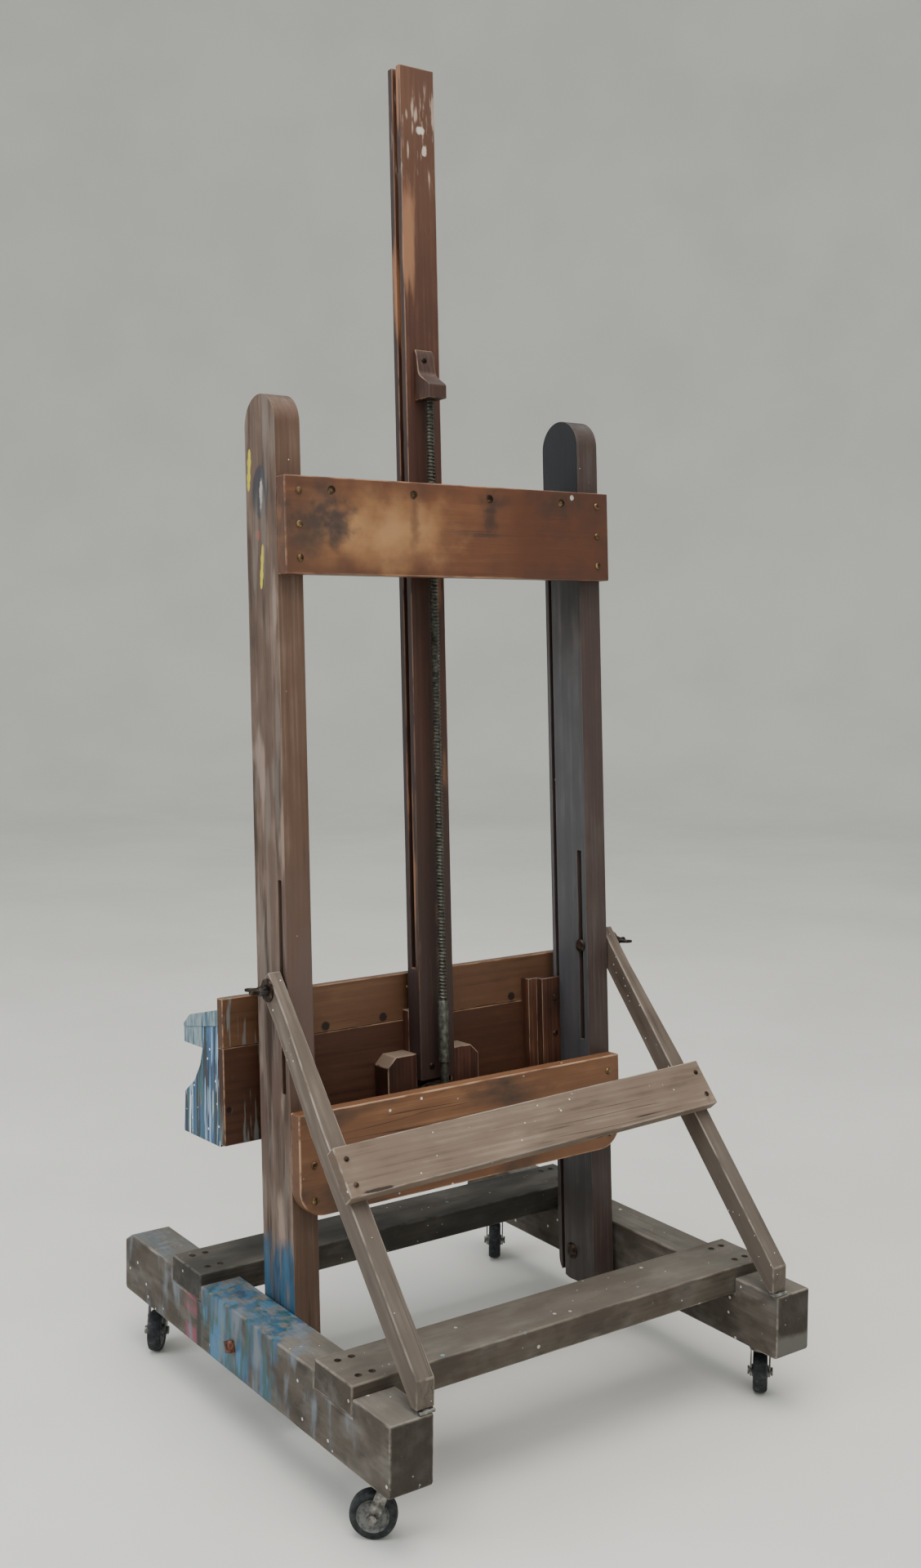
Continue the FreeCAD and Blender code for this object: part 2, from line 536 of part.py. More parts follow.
gear = new_body("screw_bevel_gear", TILT)
add(gear, "XY_Plane", f"{GEAR_TOP} - gear_thick", GEAR_TOP, ("0", "screw_v", "gear_radius"))
add(gear, "XY_Plane", GEAR_TOP, f"{GEAR_TOP} + 8", ("0", "screw_v", "spindle_radius + 5"))
cut(gear, "XY_Plane", f"{GEAR_TOP} - gear_thick", f"{GEAR_TOP} + 8",
    ("0", "screw_v", "spindle_radius + fit_gap"))

yoke = new_body("screw_yoke", TILT)
YOKE_MID = "(yoke_top - yoke_radius)"
add(yoke, "XZ_Plane", "foot_block_rear + 0.1", "yoke_rear", ("0", YOKE_MID, "yoke_radius"))
cut(yoke, "XZ_Plane", "foot_block_rear + 0.1", "yoke_rear",
    ("0", YOKE_MID, "yoke_radius - yoke_thick"))
cut(yoke, "XZ_Plane", "foot_block_rear + 0.1", "yoke_rear",
    box("-yoke_radius - 1", "yoke_radius + 1", f"{YOKE_MID} - yoke_radius - 1", "yoke_foot"))
cut(yoke, "XY_Plane", "yoke_top - 3 * yoke_thick", "yoke_top + 1",
    ("0", "screw_v", "spindle_radius + fit_gap"))

# ---------------------------------------------------------------- mast foot, apron and tray
blocks = new_body("mast_foot_blocks", TILT)
for side, sign in SIDES:
    mirror = "" if sign > 0 else "-"
    add(blocks, "XZ_Plane", "apron_rear", "foot_block_rear", [
        (f"{mirror}(mast_half + 0.1)", "apron_low"),
        (f"{mirror}foot_block_reach", "apron_low"),
        (f"{mirror}foot_block_reach", "foot_block_top - foot_block_bevel"),
        (f"{mirror}(foot_block_reach - foot_block_bevel)", "foot_block_top"),
        (f"{mirror}(mast_half + 0.1)", "foot_block_top")])
packer = new_body("mast_packer", TILT)
add(packer, "XZ_Plane", "apron_rear", "mast_front",
    box("-mast_half", "mast_half", "apron_low", "foot_block_top + 60"))
cut(packer, "XZ_Plane", "apron_rear", "mast_front", ("0", "crank_h", "crank_radius + fit_gap"))

for name, low, high in (("lower", "apron_low", "apron_joint - joint_gap"),
                        ("upper", "apron_joint", "apron_high")):
    board = new_body(f"apron_board_{name}", TILT)
    add(board, "XZ_Plane", "apron_front", "apron_rear", box("-apron_half", "apron_half", low, high))
    if name == "lower":
        cut(board, "XZ_Plane", "apron_front", "apron_rear",
            ("0", "crank_h", "crank_radius + fit_gap"))

TONGUE_FRONT = "(groove_front + tongue_gap)"
TONGUE_REAR = "(groove_front + groove_wide - tongue_gap)"
battens = new_body("guide_battens", TILT)
for side, sign in SIDES:
    mirror = "" if sign > 0 else "-"
    tip = f"{mirror}(post_inner + groove_deep - 1.5)"
    add(battens, "XY_Plane", "batten_low", "batten_high", [
        (f"{mirror}batten_inner", "apron_rear"), (f"{mirror}batten_outer", "apron_rear"),
        (f"{mirror}batten_outer", TONGUE_FRONT), (tip, TONGUE_FRONT), (tip, TONGUE_REAR),
        (f"{mirror}(batten_inner + 16)", TONGUE_REAR),
        (f"{mirror}(batten_inner + 16)", "post_front"), (f"{mirror}batten_inner", "post_front")])
BATTEN_SCREWS = [(f"{sign} * (batten_outer + 9)", f"batten_high - {drop}")
                 for sign in (1, -1) for drop in (31, 87)]
screws = new_body("batten_screws", TILT)
add(screws, "XZ_Plane", TONGUE_REAR, f"{TONGUE_REAR} + screw_proud",
    *[(x, h, "screw_head") for x, h in BATTEN_SCREWS])

ledge = new_body("canvas_ledge", TILT)
add(ledge, "YZ_Plane", "-apron_half", "apron_half", [
    ("apron_front", "ledge_under_h"), ("apron_front", "ledge_rear_h"),
    ("ledge_front_v", "ledge_front_h"), ("ledge_tip_v", "ledge_tip_h + 6"),
    ("ledge_tip_v", "ledge_tip_h")])
round_edges(ledge, "ledge_round", 0, (size["ledge_front_v"], size["ledge_front_h"]))
LEDGE_FALL = "((ledge_under_h - ledge_tip_h) / (apron_front - ledge_tip_v))"


def under_ledge(v):
    """Height of the ledge's underside at a place v, less a hair of clearance."""
    return f"(ledge_under_h + ({v} - apron_front) * {LEDGE_FALL} - 0.1)"


strip = new_body("ledge_strip", TILT)
add(strip, "YZ_Plane", "-apron_half", "apron_half", [
    ("strip_front", "strip_low"), ("strip_rear", "strip_low"),
    ("strip_rear", under_ledge("strip_rear")), ("strip_front", under_ledge("strip_front"))])

CHEEK_REAR = "(apron_front - 0.1)"
for side, sign in SIDES:
    cheek = new_body(f"tray_cheek_{side}", TILT)
    add(cheek, "YZ_Plane", *span(sign, "apron_half - cheek_thick", "apron_half"), [
        (CHEEK_REAR, "tray_low"), (CHEEK_REAR, under_ledge("apron_front")),
        ("strip_rear + 0.1", under_ledge("strip_rear")), ("strip_rear + 0.1", "strip_low"),
        ("strip_rear - cheek_neck_in", "cheek_neck_h"),
        ("strip_rear - cheek_swell_out", "cheek_neck_h - cheek_swell_drop"),
        ("cheek_shoulder_v", "cheek_shoulder_h"), ("tray_front", "tray_low")])
    neck = (size["strip_rear"] - size["cheek_neck_in"], size["cheek_neck_h"])
    swell = (size["strip_rear"] - size["cheek_swell_out"],
             size["cheek_neck_h"] - size["cheek_swell_drop"])
    round_edges(cheek, "cheek_neck_round", 0, neck)
    round_edges(cheek, "cheek_swell_round", 0, swell)
    round_edges(cheek, "cheek_shoulder_round", 0,
                (size["cheek_shoulder_v"], size["cheek_shoulder_h"]))

TRAY_X = "(apron_half - cheek_thick - 0.1)"
FRONT_WALL = ("tray_front + 2", "tray_front + 2 + tray_wall")
bottom = new_body("tray_bottom", TILT)
add(bottom, "XY_Plane", "tray_low", "tray_low + tray_thick",
    box(f"-{TRAY_X}", TRAY_X, f"{FRONT_WALL[1]} + 0.1", CHEEK_REAR))
front = new_body("tray_front_board", TILT)
add(front, "XZ_Plane", *FRONT_WALL, box(f"-{TRAY_X}", TRAY_X, "tray_low", "cheek_shoulder_h - 4"))
cut(front, "XZ_Plane", *FRONT_WALL, ("0", "crank_h", "crank_radius + fit_gap"))

# ---------------------------------------------------------------- crank
PINION_FRONT = "(screw_v - gear_radius - pinion_thick / 2)"
shaft = new_body("crank_shaft", TILT)
add(shaft, "XZ_Plane", "crank_front", f"{PINION_FRONT} + pinion_thick + 1",
    ("0", "crank_h", "crank_radius"))
pinion = new_body("crank_pinion", TILT)
add(pinion, "XZ_Plane", PINION_FRONT, f"{PINION_FRONT} + pinion_thick",
    ("0", "crank_h", "pinion_radius"))
cut(pinion, "XZ_Plane", PINION_FRONT, f"{PINION_FRONT} + pinion_thick",
    ("0", "crank_h", "crank_radius + fit_gap"))
arm = new_body("crank_arm", TILT)
ARM = ("crank_front", "crank_front + arm_thick")
add(arm, "XZ_Plane", *ARM, box("-arm_half", "arm_half", "crank_h - arm_length", "crank_h"))
add(arm, "XZ_Plane", *ARM, ("0", "crank_h", "arm_half + 3"))
add(arm, "XZ_Plane", *ARM, ("0", "crank_h - arm_length", "arm_half"))
cut(arm, "XZ_Plane", *ARM, ("0", "crank_h", "crank_radius + fit_gap"))
grip = new_body("crank_handle", TILT)
add(grip, "XZ_Plane", "crank_front - grip_length", "crank_front - 0.2",
    ("0", "crank_h - arm_length", "grip_radius"))

# ---------------------------------------------------------------- foot hinges
# The three knuckles of a foot hinge, with a hair of room between them.
LEAF_X = [("brace_inner + 2", "brace_inner + 8.9"), ("brace_inner + 9.1", "brace_inner + 16.9"),
          ("brace_inner + 17.1", "brace_inner + 24")]
lower_leaf = new_body("foot_hinge_lower", HINGE)
upper_leaf = new_body("foot_hinge_upper", HINGE)
for side, sign in SIDES:
    for number, (inner, outer) in enumerate(LEAF_X):
        leaf = upper_leaf if number == 1 else lower_leaf
        add(leaf, "YZ_Plane", *span(sign, inner, outer), ("0", "0", "knuckle_radius"))
    full = span(sign, LEAF_X[0][0], LEAF_X[2][1])
    add(lower_leaf, "YZ_Plane", *full,
        box("-leaf_reach", "-knuckle_radius - 0.25",
            "-knuckle_radius", "-knuckle_radius + leaf_thick"))
    for number in (0, 2):
        add(lower_leaf, "YZ_Plane", *span(sign, *LEAF_X[number]),
            box("-leaf_root", "0", "-knuckle_radius", "-knuckle_radius + leaf_thick"))
    add(upper_leaf, "YZ_Plane", *full,
        box("-leaf_reach", "-knuckle_radius - 0.25",
            "knuckle_radius - leaf_thick", "knuckle_radius"))
    add(upper_leaf, "YZ_Plane", *span(sign, *LEAF_X[1]),
        box("-leaf_root", "0", "knuckle_radius - leaf_thick", "knuckle_radius"))
    for leaf in (lower_leaf, upper_leaf):
        cut(leaf, "YZ_Plane", *full, ("0", "0", "hinge_pin + fit_gap"))
    add(lower_leaf, "YZ_Plane", *full, ("0", "0", "hinge_pin"))

# ---------------------------------------------------------------- braces
BRACE_FRONT = "(brace_rear - brace_depth)"
BRACE_END = f"({BRACE_REACH} + brace_past)"
BRACE_OUTER = "(brace_inner + brace_thick)"
THIN_OUTER = "(brace_inner + brace_thin)"
SEAT = "(knuckle_radius + 0.05)"
BACK = "(knuckle_radius + 0.4)"
for side, sign in SIDES:
    low, high = span(sign, "brace_inner", BRACE_OUTER)
    mirror = "" if sign > 0 else "-"
    brace = new_body(f"brace_{side}", BRACE)
    add(brace, "YZ_Plane", low, high, [
        (f"{SEAT} * sin({BRACE_LEAN}) - {BACK} * cos({BRACE_LEAN})",
         f"{SEAT} * cos({BRACE_LEAN}) + {BACK} * sin({BRACE_LEAN})"),
        (BRACE_FRONT, f"({SEAT} - {BRACE_FRONT} * sin({BRACE_LEAN})) / cos({BRACE_LEAN})"),
        (BRACE_FRONT, BRACE_END), ("brace_rear", BRACE_END),
        ("brace_rear", f"(brace_rear * cos({BRACE_LEAN}) + {BACK}) / sin({BRACE_LEAN})")])
    cut(brace, "XZ_Plane", f"{BRACE_FRONT} - 1", "brace_rear + 1", [
        (f"{mirror}{THIN_OUTER}", f"{BRACE_END} + 1"),
        (f"{mirror}({BRACE_OUTER} + 1)", f"{BRACE_END} + 1"),
        (f"{mirror}({BRACE_OUTER} + 1)",
         f"{BRACE_END} - brace_thin_length - brace_taper_length"),
        (f"{mirror}{BRACE_OUTER}", f"{BRACE_END} - brace_thin_length - brace_taper_length"),
        (f"{mirror}{THIN_OUTER}", f"{BRACE_END} - brace_thin_length")])
    cut(brace, "YZ_Plane", low, high, (BRACE_MID, BRACE_REACH, "bolt_radius + bolt_slack"))

TIE_REAR = "(brace_rear + tie_thick)"
TIE_SLOPE = "((tie_low_right - tie_low_left) / 2)"
NAILS = [(f"{sign} * nail_x", f"(tie_low_right + tie_low_left) / 2 + {sign} * {TIE_SLOPE} + {up}")
         for sign in (1, -1) for up in (16, 51)]
tie = new_body("brace_crossboard", BRACE)
add(tie, "XZ_Plane", "brace_rear", TIE_REAR, [
    ("-tie_half", "tie_low_left"), ("tie_half", "tie_low_right"),
    ("tie_half", "tie_low_right + tie_wide"), ("-tie_half", "tie_low_left + tie_wide")])
cut(tie, "XZ_Plane", "brace_rear", TIE_REAR,
    *[(x, h, "nail_shank + screw_gap") for x, h in NAILS])
nails = new_body("brace_nails", BRACE)
add(nails, "XZ_Plane", "brace_rear + 0.2", f"{TIE_REAR} + 0.1",
    *[(x, h, "nail_shank") for x, h in NAILS])
add(nails, "XZ_Plane", f"{TIE_REAR} + 0.1", f"{TIE_REAR} + 1.2",
    *[(x, h, "nail_head") for x, h in NAILS])

# ---------------------------------------------------------------- lock bolts and wing nuts
WASHER = (f"{THIN_OUTER} + face_gap", f"{THIN_OUTER} + face_gap + washer_thick")
locks = new_body("lock_bolts", TILT)
washers = new_body("lock_washers", TILT)
for side, sign in SIDES:
    mirror = "" if sign > 0 else "-"
    head_x = "post_inner - face_gap"
    add(locks, "YZ_Plane", *span(sign, head_x, "bolt_end"),
        ("slot_centre", "bolt_rest", "bolt_radius"))
    add(locks, "YZ_Plane", *span(sign, f"{head_x} - bolt_head_thick", head_x),
        ("slot_centre", "bolt_rest", "bolt_head"))
    add(washers, "YZ_Plane", *span(sign, *WASHER), ("slot_centre", "bolt_rest", "washer_radius"))
    cut(washers, "YZ_Plane", *span(sign, *WASHER),
        ("slot_centre", "bolt_rest", "bolt_radius + fit_gap"))
    hub = f"({WASHER[1]} + face_gap)"
    hub_end = f"({hub} + wing_hub_length)"
    wing_nut = new_body(f"wing_nut_{side}", TILT)
    add(wing_nut, "YZ_Plane", *span(sign, hub, hub_end), ("slot_centre", "bolt_rest", "wing_hub"))
    for way in ("+", "-"):
        add(wing_nut, "XY_Plane", "bolt_rest - wing_thick / 2", "bolt_rest + wing_thick / 2", [
            (f"{mirror}({hub} + 1.5)", f"slot_centre {way} (bolt_radius + 1.5)"),
            (f"{mirror}({hub} + 4)", f"slot_centre {way} (wing_span - 7)"),
            (f"{mirror}({hub} + 13)", f"slot_centre {way} wing_span"),
            (f"{mirror}({hub_end} + 9)", f"slot_centre {way} (wing_span - 1)"),
            (f"{mirror}({hub_end} + 9)", f"slot_centre {way} (wing_span - 9)"),
            (f"{mirror}{hub_end}", f"slot_centre {way} (bolt_radius + 1.5)")])
    cut(wing_nut, "YZ_Plane", *span(sign, hub, f"{hub_end} + 10"),
        ("slot_centre", "bolt_rest", "bolt_radius + fit_gap"))

# ---------------------------------------------------------------- casters
# Each caster's place, and how far it happens to have turned, in degrees.
CASTERS = [("front_right", 1, "front_caster_y", -37), ("front_left", -1, "front_caster_y", -37),
           ("rear_right", 1, "rear_caster_y", -130), ("rear_left", -1, "rear_caster_y", 135)]
plates = new_body("caster_plates", BASE)
for name, sign, y, turn in CASTERS:
    x = f"{sign} * caster_x"
    add(plates, "XY_Plane", "runner_bottom - caster_plate_thick", "runner_bottom",
        box(f"{x} - caster_plate_side", f"{x} + caster_plate_side",
            f"{y} - caster_plate_half", f"{y} + caster_plate_half"))
    add(plates, "XY_Plane", "race_low", "runner_bottom - caster_plate_thick",
        (x, y, "race_radius"))
    add(plates, "XY_Plane", "kingpin_low", "race_low", (x, y, "kingpin_radius"))
    add(plates, "XY_Plane", "kingpin_low", "fork_crown - 0.4", (x, y, "kingpin_radius + 2.5"))
    frame = (x, y, "0", Z_AXIS, str(turn))
    fork = new_body(f"caster_fork_{name}", frame)
    add(fork, "XY_Plane", "fork_crown", "fork_top", ("0", "0", "fork_crown_radius"))
    for side in (1, -1):
        leg = span(side, "hub_wide / 2 + hub_gap", "hub_wide / 2 + hub_gap + fork_thick")
        add(fork, "YZ_Plane", *leg, [
            ("-8", "fork_crown + 0.5"), ("8", "fork_crown + 0.5"),
            ("caster_trail + fork_boss * 0.9", "wheel_radius + 3"),
            ("caster_trail - fork_boss * 0.9", "wheel_radius - 3")])
        add(fork, "YZ_Plane", *leg, ("caster_trail", "wheel_radius", "fork_boss"))
    cut(fork, "XY_Plane", "fork_crown - 0.5", "fork_top", ("0", "0", "kingpin_radius + fit_gap"))
    cut(fork, "YZ_Plane", "-hub_wide", "hub_wide",
        ("caster_trail", "wheel_radius", "axle_radius + fit_gap"))
    axle = new_body(f"caster_axle_{name}", frame)
    add(axle, "YZ_Plane", "-hub_wide / 2 - 3.5", "hub_wide / 2 + 3.5",
        ("caster_trail", "wheel_radius", "axle_radius"))
    for side in (1, -1):
        add(axle, "YZ_Plane", *span(side, "hub_wide / 2 + 3", "hub_wide / 2 + 6"),
            ("caster_trail", "wheel_radius", "axle_radius * 1.8"))
    wheel = new_body(f"caster_wheel_{name}", frame)
    add(wheel, "YZ_Plane", "-wheel_wide / 2", "wheel_wide / 2",
        ("caster_trail", "wheel_radius", "wheel_radius"))
    add(wheel, "YZ_Plane", "-hub_wide / 2", "hub_wide / 2",
        ("caster_trail", "wheel_radius", "hub_radius"))
    cut(wheel, "YZ_Plane", "-hub_wide", "hub_wide",
        ("caster_trail", "wheel_radius", "axle_radius + fit_gap"))

# ---------------------------------------------------------------- check and write
doc.recompute()
failed = [thing.Label for thing in doc.Objects
          if "Invalid" in thing.State or "Error" in thing.State]
if failed:
    raise RuntimeError("failed objects: " + ", ".join(failed))
bodies = [thing for thing in doc.Objects if thing.TypeId == "PartDesign::Body"]
for body in bodies:
    shape = body.Shape
    if shape.isNull() or not shape.isValid():
        raise RuntimeError(body.Label + ": no valid shape")
for body in bodies:
    body.Shape.exportStep(f"parts/{body.Label}.step")
print(len(bodies), "parts written")
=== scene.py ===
import json
import math

import bmesh
import bpy
from mathutils import Matrix, Vector


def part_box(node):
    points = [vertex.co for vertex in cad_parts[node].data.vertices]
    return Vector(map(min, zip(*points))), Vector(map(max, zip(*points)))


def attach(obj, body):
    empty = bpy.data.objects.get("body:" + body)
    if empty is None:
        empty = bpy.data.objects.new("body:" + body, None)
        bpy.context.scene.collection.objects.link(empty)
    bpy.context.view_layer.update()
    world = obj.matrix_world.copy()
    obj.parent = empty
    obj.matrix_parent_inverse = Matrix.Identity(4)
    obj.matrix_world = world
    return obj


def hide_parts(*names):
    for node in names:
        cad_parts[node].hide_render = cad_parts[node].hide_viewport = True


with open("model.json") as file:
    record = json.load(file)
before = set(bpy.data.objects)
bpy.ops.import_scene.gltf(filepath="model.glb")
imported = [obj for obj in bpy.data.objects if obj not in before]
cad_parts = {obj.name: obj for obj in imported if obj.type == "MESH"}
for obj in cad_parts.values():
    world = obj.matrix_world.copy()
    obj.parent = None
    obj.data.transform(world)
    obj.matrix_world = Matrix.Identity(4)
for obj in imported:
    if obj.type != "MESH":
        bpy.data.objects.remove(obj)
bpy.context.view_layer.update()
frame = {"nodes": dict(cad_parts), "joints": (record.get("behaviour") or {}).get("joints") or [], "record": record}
MM = 0.001


# ---------------------------------------------------------------- runners and cross rails
# The base is four lengths of softwood stud, planed once and then left to go grey: two runners on
# casters and two rails let into them. It has caught every drip from the tray above.


def linear(code):
    """An sRGB hex colour as linear RGBA."""
    parts = [int(code[i:i + 2], 16) / 255 for i in (1, 3, 5)]
    return [c / 12.92 if c <= 0.04045 else ((c + 0.055) / 1.055) ** 2.4 for c in parts] + [1.0]


def add(tree, kind, links=None, **settings):
    """Adds a node. Links maps an input to a value, or to the output that feeds it."""
    made = tree.nodes.new(kind)
    for name, value in settings.items():
        setattr(made, name, value)
    for name, value in (links or {}).items():
        if isinstance(value, bpy.types.NodeSocket):
            tree.links.new(value, made.inputs[name])
        else:
            made.inputs[name].default_value = value
    return made


class Finish:
    """A surface in the making: its node tree and its colour, roughness and relief so far."""

    def __init__(self, name):
        self.material = bpy.data.materials.new(name)
        self.material.use_nodes = True
        self.tree = self.material.node_tree
        self.tree.nodes.clear()
        self.place = add(self.tree, "ShaderNodeTexCoord").outputs["Object"]
        self.grain = self.place
        self.relief = None

    def weighted(self, base, *parts):
        """A base value with (value, weight) pairs added to it."""
        for value, weight in parts:
            base = add(self.tree, "ShaderNodeMath", {0: value, 1: weight, 2: base},
                       operation="MULTIPLY_ADD").outputs[0]
        return base

    def cloud(self, size_mm, stretch=(1, 1, 1), detail=3.0, at=None, offset=0.0):
        """Soft noise whose patches are about size_mm across, drawn out by stretch."""
        k = 1000 / size_mm
        moved = add(self.tree, "ShaderNodeMapping", {
            "Vector": at or self.grain, "Location": (offset, offset * 0.7, offset * 1.3),
            "Scale": [k / s for s in stretch]})
        return add(self.tree, "ShaderNodeTexNoise", {
            "Vector": moved.outputs[0], "Scale": 1.0, "Detail": detail}).outputs[0]

    def patches(self, size_mm, low, high, stretch=(1, 1, 1), detail=3.0, at=None, offset=0.0):
        """Where a cloud is thick: from 0 at the low value to 1 at the high one."""
        return self.mask_of(self.cloud(size_mm, stretch, detail, at, offset), low, high)

    def mask_of(self, value, low, high):
        """A mask that eases from 0, where a value is low, to 1, where it is high."""
        return add(self.tree, "ShaderNodeMapRange", {
            "Value": value, "From Min": low, "From Max": high},
            interpolation_type="SMOOTHSTEP").outputs[0]

    def coat(self, mask, colour, rough=None, lift=0.0):
        """Lays a colour (hex, or an output) over the surface where the mask is 1."""
        paint = linear(colour) if isinstance(colour, str) else colour
        self.colour = add(self.tree, "ShaderNodeMix", {0: mask, 6: self.colour, 7: paint},
                          data_type="RGBA").outputs[2]
        if rough is not None:
            self.rough = add(self.tree, "ShaderNodeMix", {0: mask, 2: self.rough, 3: rough},
                             data_type="FLOAT").outputs[0]
        if lift:
            self.relief = self.weighted(self.relief, (mask, lift))

    def colour_by(self, value, *stops):
        """The colour that a value picks from (position, hex) stops."""
        ramp = add(self.tree, "ShaderNodeValToRGB", {0: value})
        ramp.color_ramp.interpolation = "EASE"
        steps = ramp.color_ramp.elements
        while len(steps) < len(stops):
            steps.new(0.5)
        for element, (position, code) in zip(steps, stops):
            element.position = position
            element.color = linear(code)
        return ramp.outputs[0]

    def spot(self, centre, size_mm, ragged=0.5, soft=0.5, patch_mm=25):
        """A mask round a place, as wide as size_mm each way, with a ragged edge."""
        half = [s * MM / 2 for s in size_mm]
        near = add(self.tree, "ShaderNodeMapping", {
            "Vector": self.place, "Location": [-c / h for c, h in zip(centre, half)],
            "Scale": [1 / h for h in half]})
        far = add(self.tree, "ShaderNodeVectorMath", {0: near.outputs[0]}, operation="LENGTH")
        noise = self.cloud(patch_mm, offset=sum(centre), at=self.place)
        edge = self.weighted(far.outputs["Value"], (noise, ragged * 2))
        return self.mask_of(edge, 1.0 + ragged + soft * 0.2, 1.0 + ragged - soft * 0.8)

    def speckle(self, cell_mm, dot_mm, share, offset=0.0):
        """A mask of round splashes: one cell in so many holds a dot of up to dot_mm."""
        moved = add(self.tree, "ShaderNodeMapping", {
            "Vector": self.place, "Location": (offset, offset, offset),
            "Scale": [1000 / cell_mm] * 3})
        cells = add(self.tree, "ShaderNodeTexVoronoi", {"Vector": moved.outputs[0], "Scale": 1.0})
        pick = add(self.tree, "ShaderNodeSeparateColor", {0: cells.outputs["Color"]}).outputs[0]
        size = add(self.tree, "ShaderNodeMapRange", {
            "Value": pick, "From Min": 1 - share, "From Max": 1.0,
            "To Max": dot_mm / cell_mm / 2}).outputs[0]
        gap = self.weighted(size, (cells.outputs["Distance"], -1.0))
        return self.mask_of(gap, 0.0, 0.02)

    def both(self, *masks):
        """Where all the masks are 1. A number among them holds the others to that share."""
        result = masks[0]
        for mask in masks[1:]:
            result = add(self.tree, "ShaderNodeMath", {0: result, 1: mask},
                         operation="MULTIPLY").outputs[0]
        return result

    def outside(self, mask):
        """Where a mask is 0."""
        return self.weighted(1.0, (mask, -1.0))

    def between(self, axis, low, high, soft_mm=4, wander_mm=0, patch_mm=30):
        """A mask between two heights (or places along another axis) of the object."""
        value = add(self.tree, "ShaderNodeSeparateXYZ", {0: self.place}).outputs[axis]
        if wander_mm:
            wave = self.cloud(patch_mm, at=self.place, offset=low)
            value = self.weighted(value, (wave, 2 * wander_mm * MM))
            low, high = low + wander_mm * MM, high + wander_mm * MM
        soft = soft_mm * MM
        return self.both(self.mask_of(value, low - soft, low + soft),
                         self.mask_of(value, high + soft, high - soft))

    def facing(self, direction, low=0.6, high=0.85):
        """A mask of the faces that look along a direction."""
        normal = add(self.tree, "ShaderNodeTexCoord").outputs["Normal"]
        dot = add(self.tree, "ShaderNodeVectorMath", {0: normal, 1: direction},
                  operation="DOT_PRODUCT").outputs["Value"]
        return self.mask_of(dot, low, high)

    def done(self, bump_mm=0.4, strength=0.6, metallic=0.0, specular=0.35, coat=0.0):
        """Ties everything to a shader and returns the material."""
        links = {"Base Color": self.colour, "Roughness": self.rough, "Metallic": metallic,
                 "Specular IOR Level": specular, "Coat Weight": coat}
        if self.relief is not None:
            links["Normal"] = add(self.tree, "ShaderNodeBump", {
                "Height": self.relief, "Distance": bump_mm * MM,
                "Strength": strength}).outputs[0]
        shader = add(self.tree, "ShaderNodeBsdfPrincipled", links)
        add(self.tree, "ShaderNodeOutputMaterial", {0: shader.outputs[0]})
        return self.material


def timber(name, dark, mid, light, turn=(0, 0, 0), seed=0.0, ring_mm=9, contrast=1.0,
           checks=0.5, rough=0.62, worn="#8c7c6c"):
    """Old sawn timber with its grain along the turned Z: fibres, growth rings, patchy colour,
    fine drying checks, darker end grain and rubbed edges."""
    f = Finish(name)
    f.grain = add(f.tree, "ShaderNodeMapping", {
        "Vector": f.place, "Rotation": turn,
        "Location": (seed, seed * 0.37, seed * 2.1)}).outputs[0]
    # Real fibres are a tenth of a millimetre: they are drawn 2 mm wide, so that they show.
    fibre = f.cloud(2.0, (1, 1, 45), detail=4)
    streak = f.cloud(9, (1, 1, 30), detail=3, offset=5)
    patch = f.cloud(110, (1, 1, 3), detail=4, offset=9)
    far = add(f.tree, "ShaderNodeMapping", {
        "Vector": f.grain, "Location": (0.05, 0.03, 0), "Scale": (1, 1, 0.06)}).outputs[0]
    # A wave of scale 314 has one ring to the millimetre.
    rings = add(f.tree, "ShaderNodeTexWave", {
        "Vector": far, "Scale": 314 / ring_mm, "Distortion": 5.0, "Detail": 2.0,
        "Detail Scale": 1.4}, wave_type="RINGS", rings_direction="Z").outputs["Fac"]
    mottle = f.cloud(34, (1, 1, 2), detail=5, offset=23)
    tone = f.weighted(0.0, (streak, 0.42), (fibre, 0.38), (rings, 0.10), (patch, 0.75),
                      (mottle, 0.6))
    middle, spread = 1.12, 0.4 / contrast
    f.colour = f.colour_by(f.mask_of(tone, middle - spread, middle + spread),
                           (0.0, dark), (0.5, mid), (1.0, light))
    f.rough = f.weighted(rough - 0.1, (fibre, 0.25))
    f.relief = f.weighted(0.0, (rings, 0.35), (fibre, 0.8))
    if checks:
        wave = f.weighted(-0.5, (f.cloud(16, (1, 1, 38), 2, offset=3), 1.0))
        line = add(f.tree, "ShaderNodeMath", {0: wave}, operation="ABSOLUTE").outputs[0]
        where = f.patches(160, 0.62 - 0.2 * checks, 0.7, (1, 1, 2), 2, offset=17)
        f.coat(f.both(f.mask_of(line, 0.014, 0.004), where), "#1a1613", 0.9, -2.0)
    normal = add(f.tree, "ShaderNodeTexCoord").outputs["Normal"]
    turned = add(f.tree, "ShaderNodeMapping", {"Vector": normal, "Rotation": turn}).outputs[0]
    along = add(f.tree, "ShaderNodeSeparateXYZ", {0: turned}).outputs[2]
    either_way = add(f.tree, "ShaderNodeMath", {0: along}, operation="ABSOLUTE").outputs[0]
    f.end_grain = f.mask_of(either_way, 0.75, 0.95)
    f.coat(f.both(f.end_grain, 0.55), dark, 0.85)
    edge = add(f.tree, "ShaderNodeAttribute", attribute_name="edge").outputs["Fac"]
    rub = f.patches(14, 0.34, 0.56, (1, 1, 3), 4, offset=1)
    f.coat(f.both(edge, f.both(rub, 0.85)), worn, 0.5)
    return f


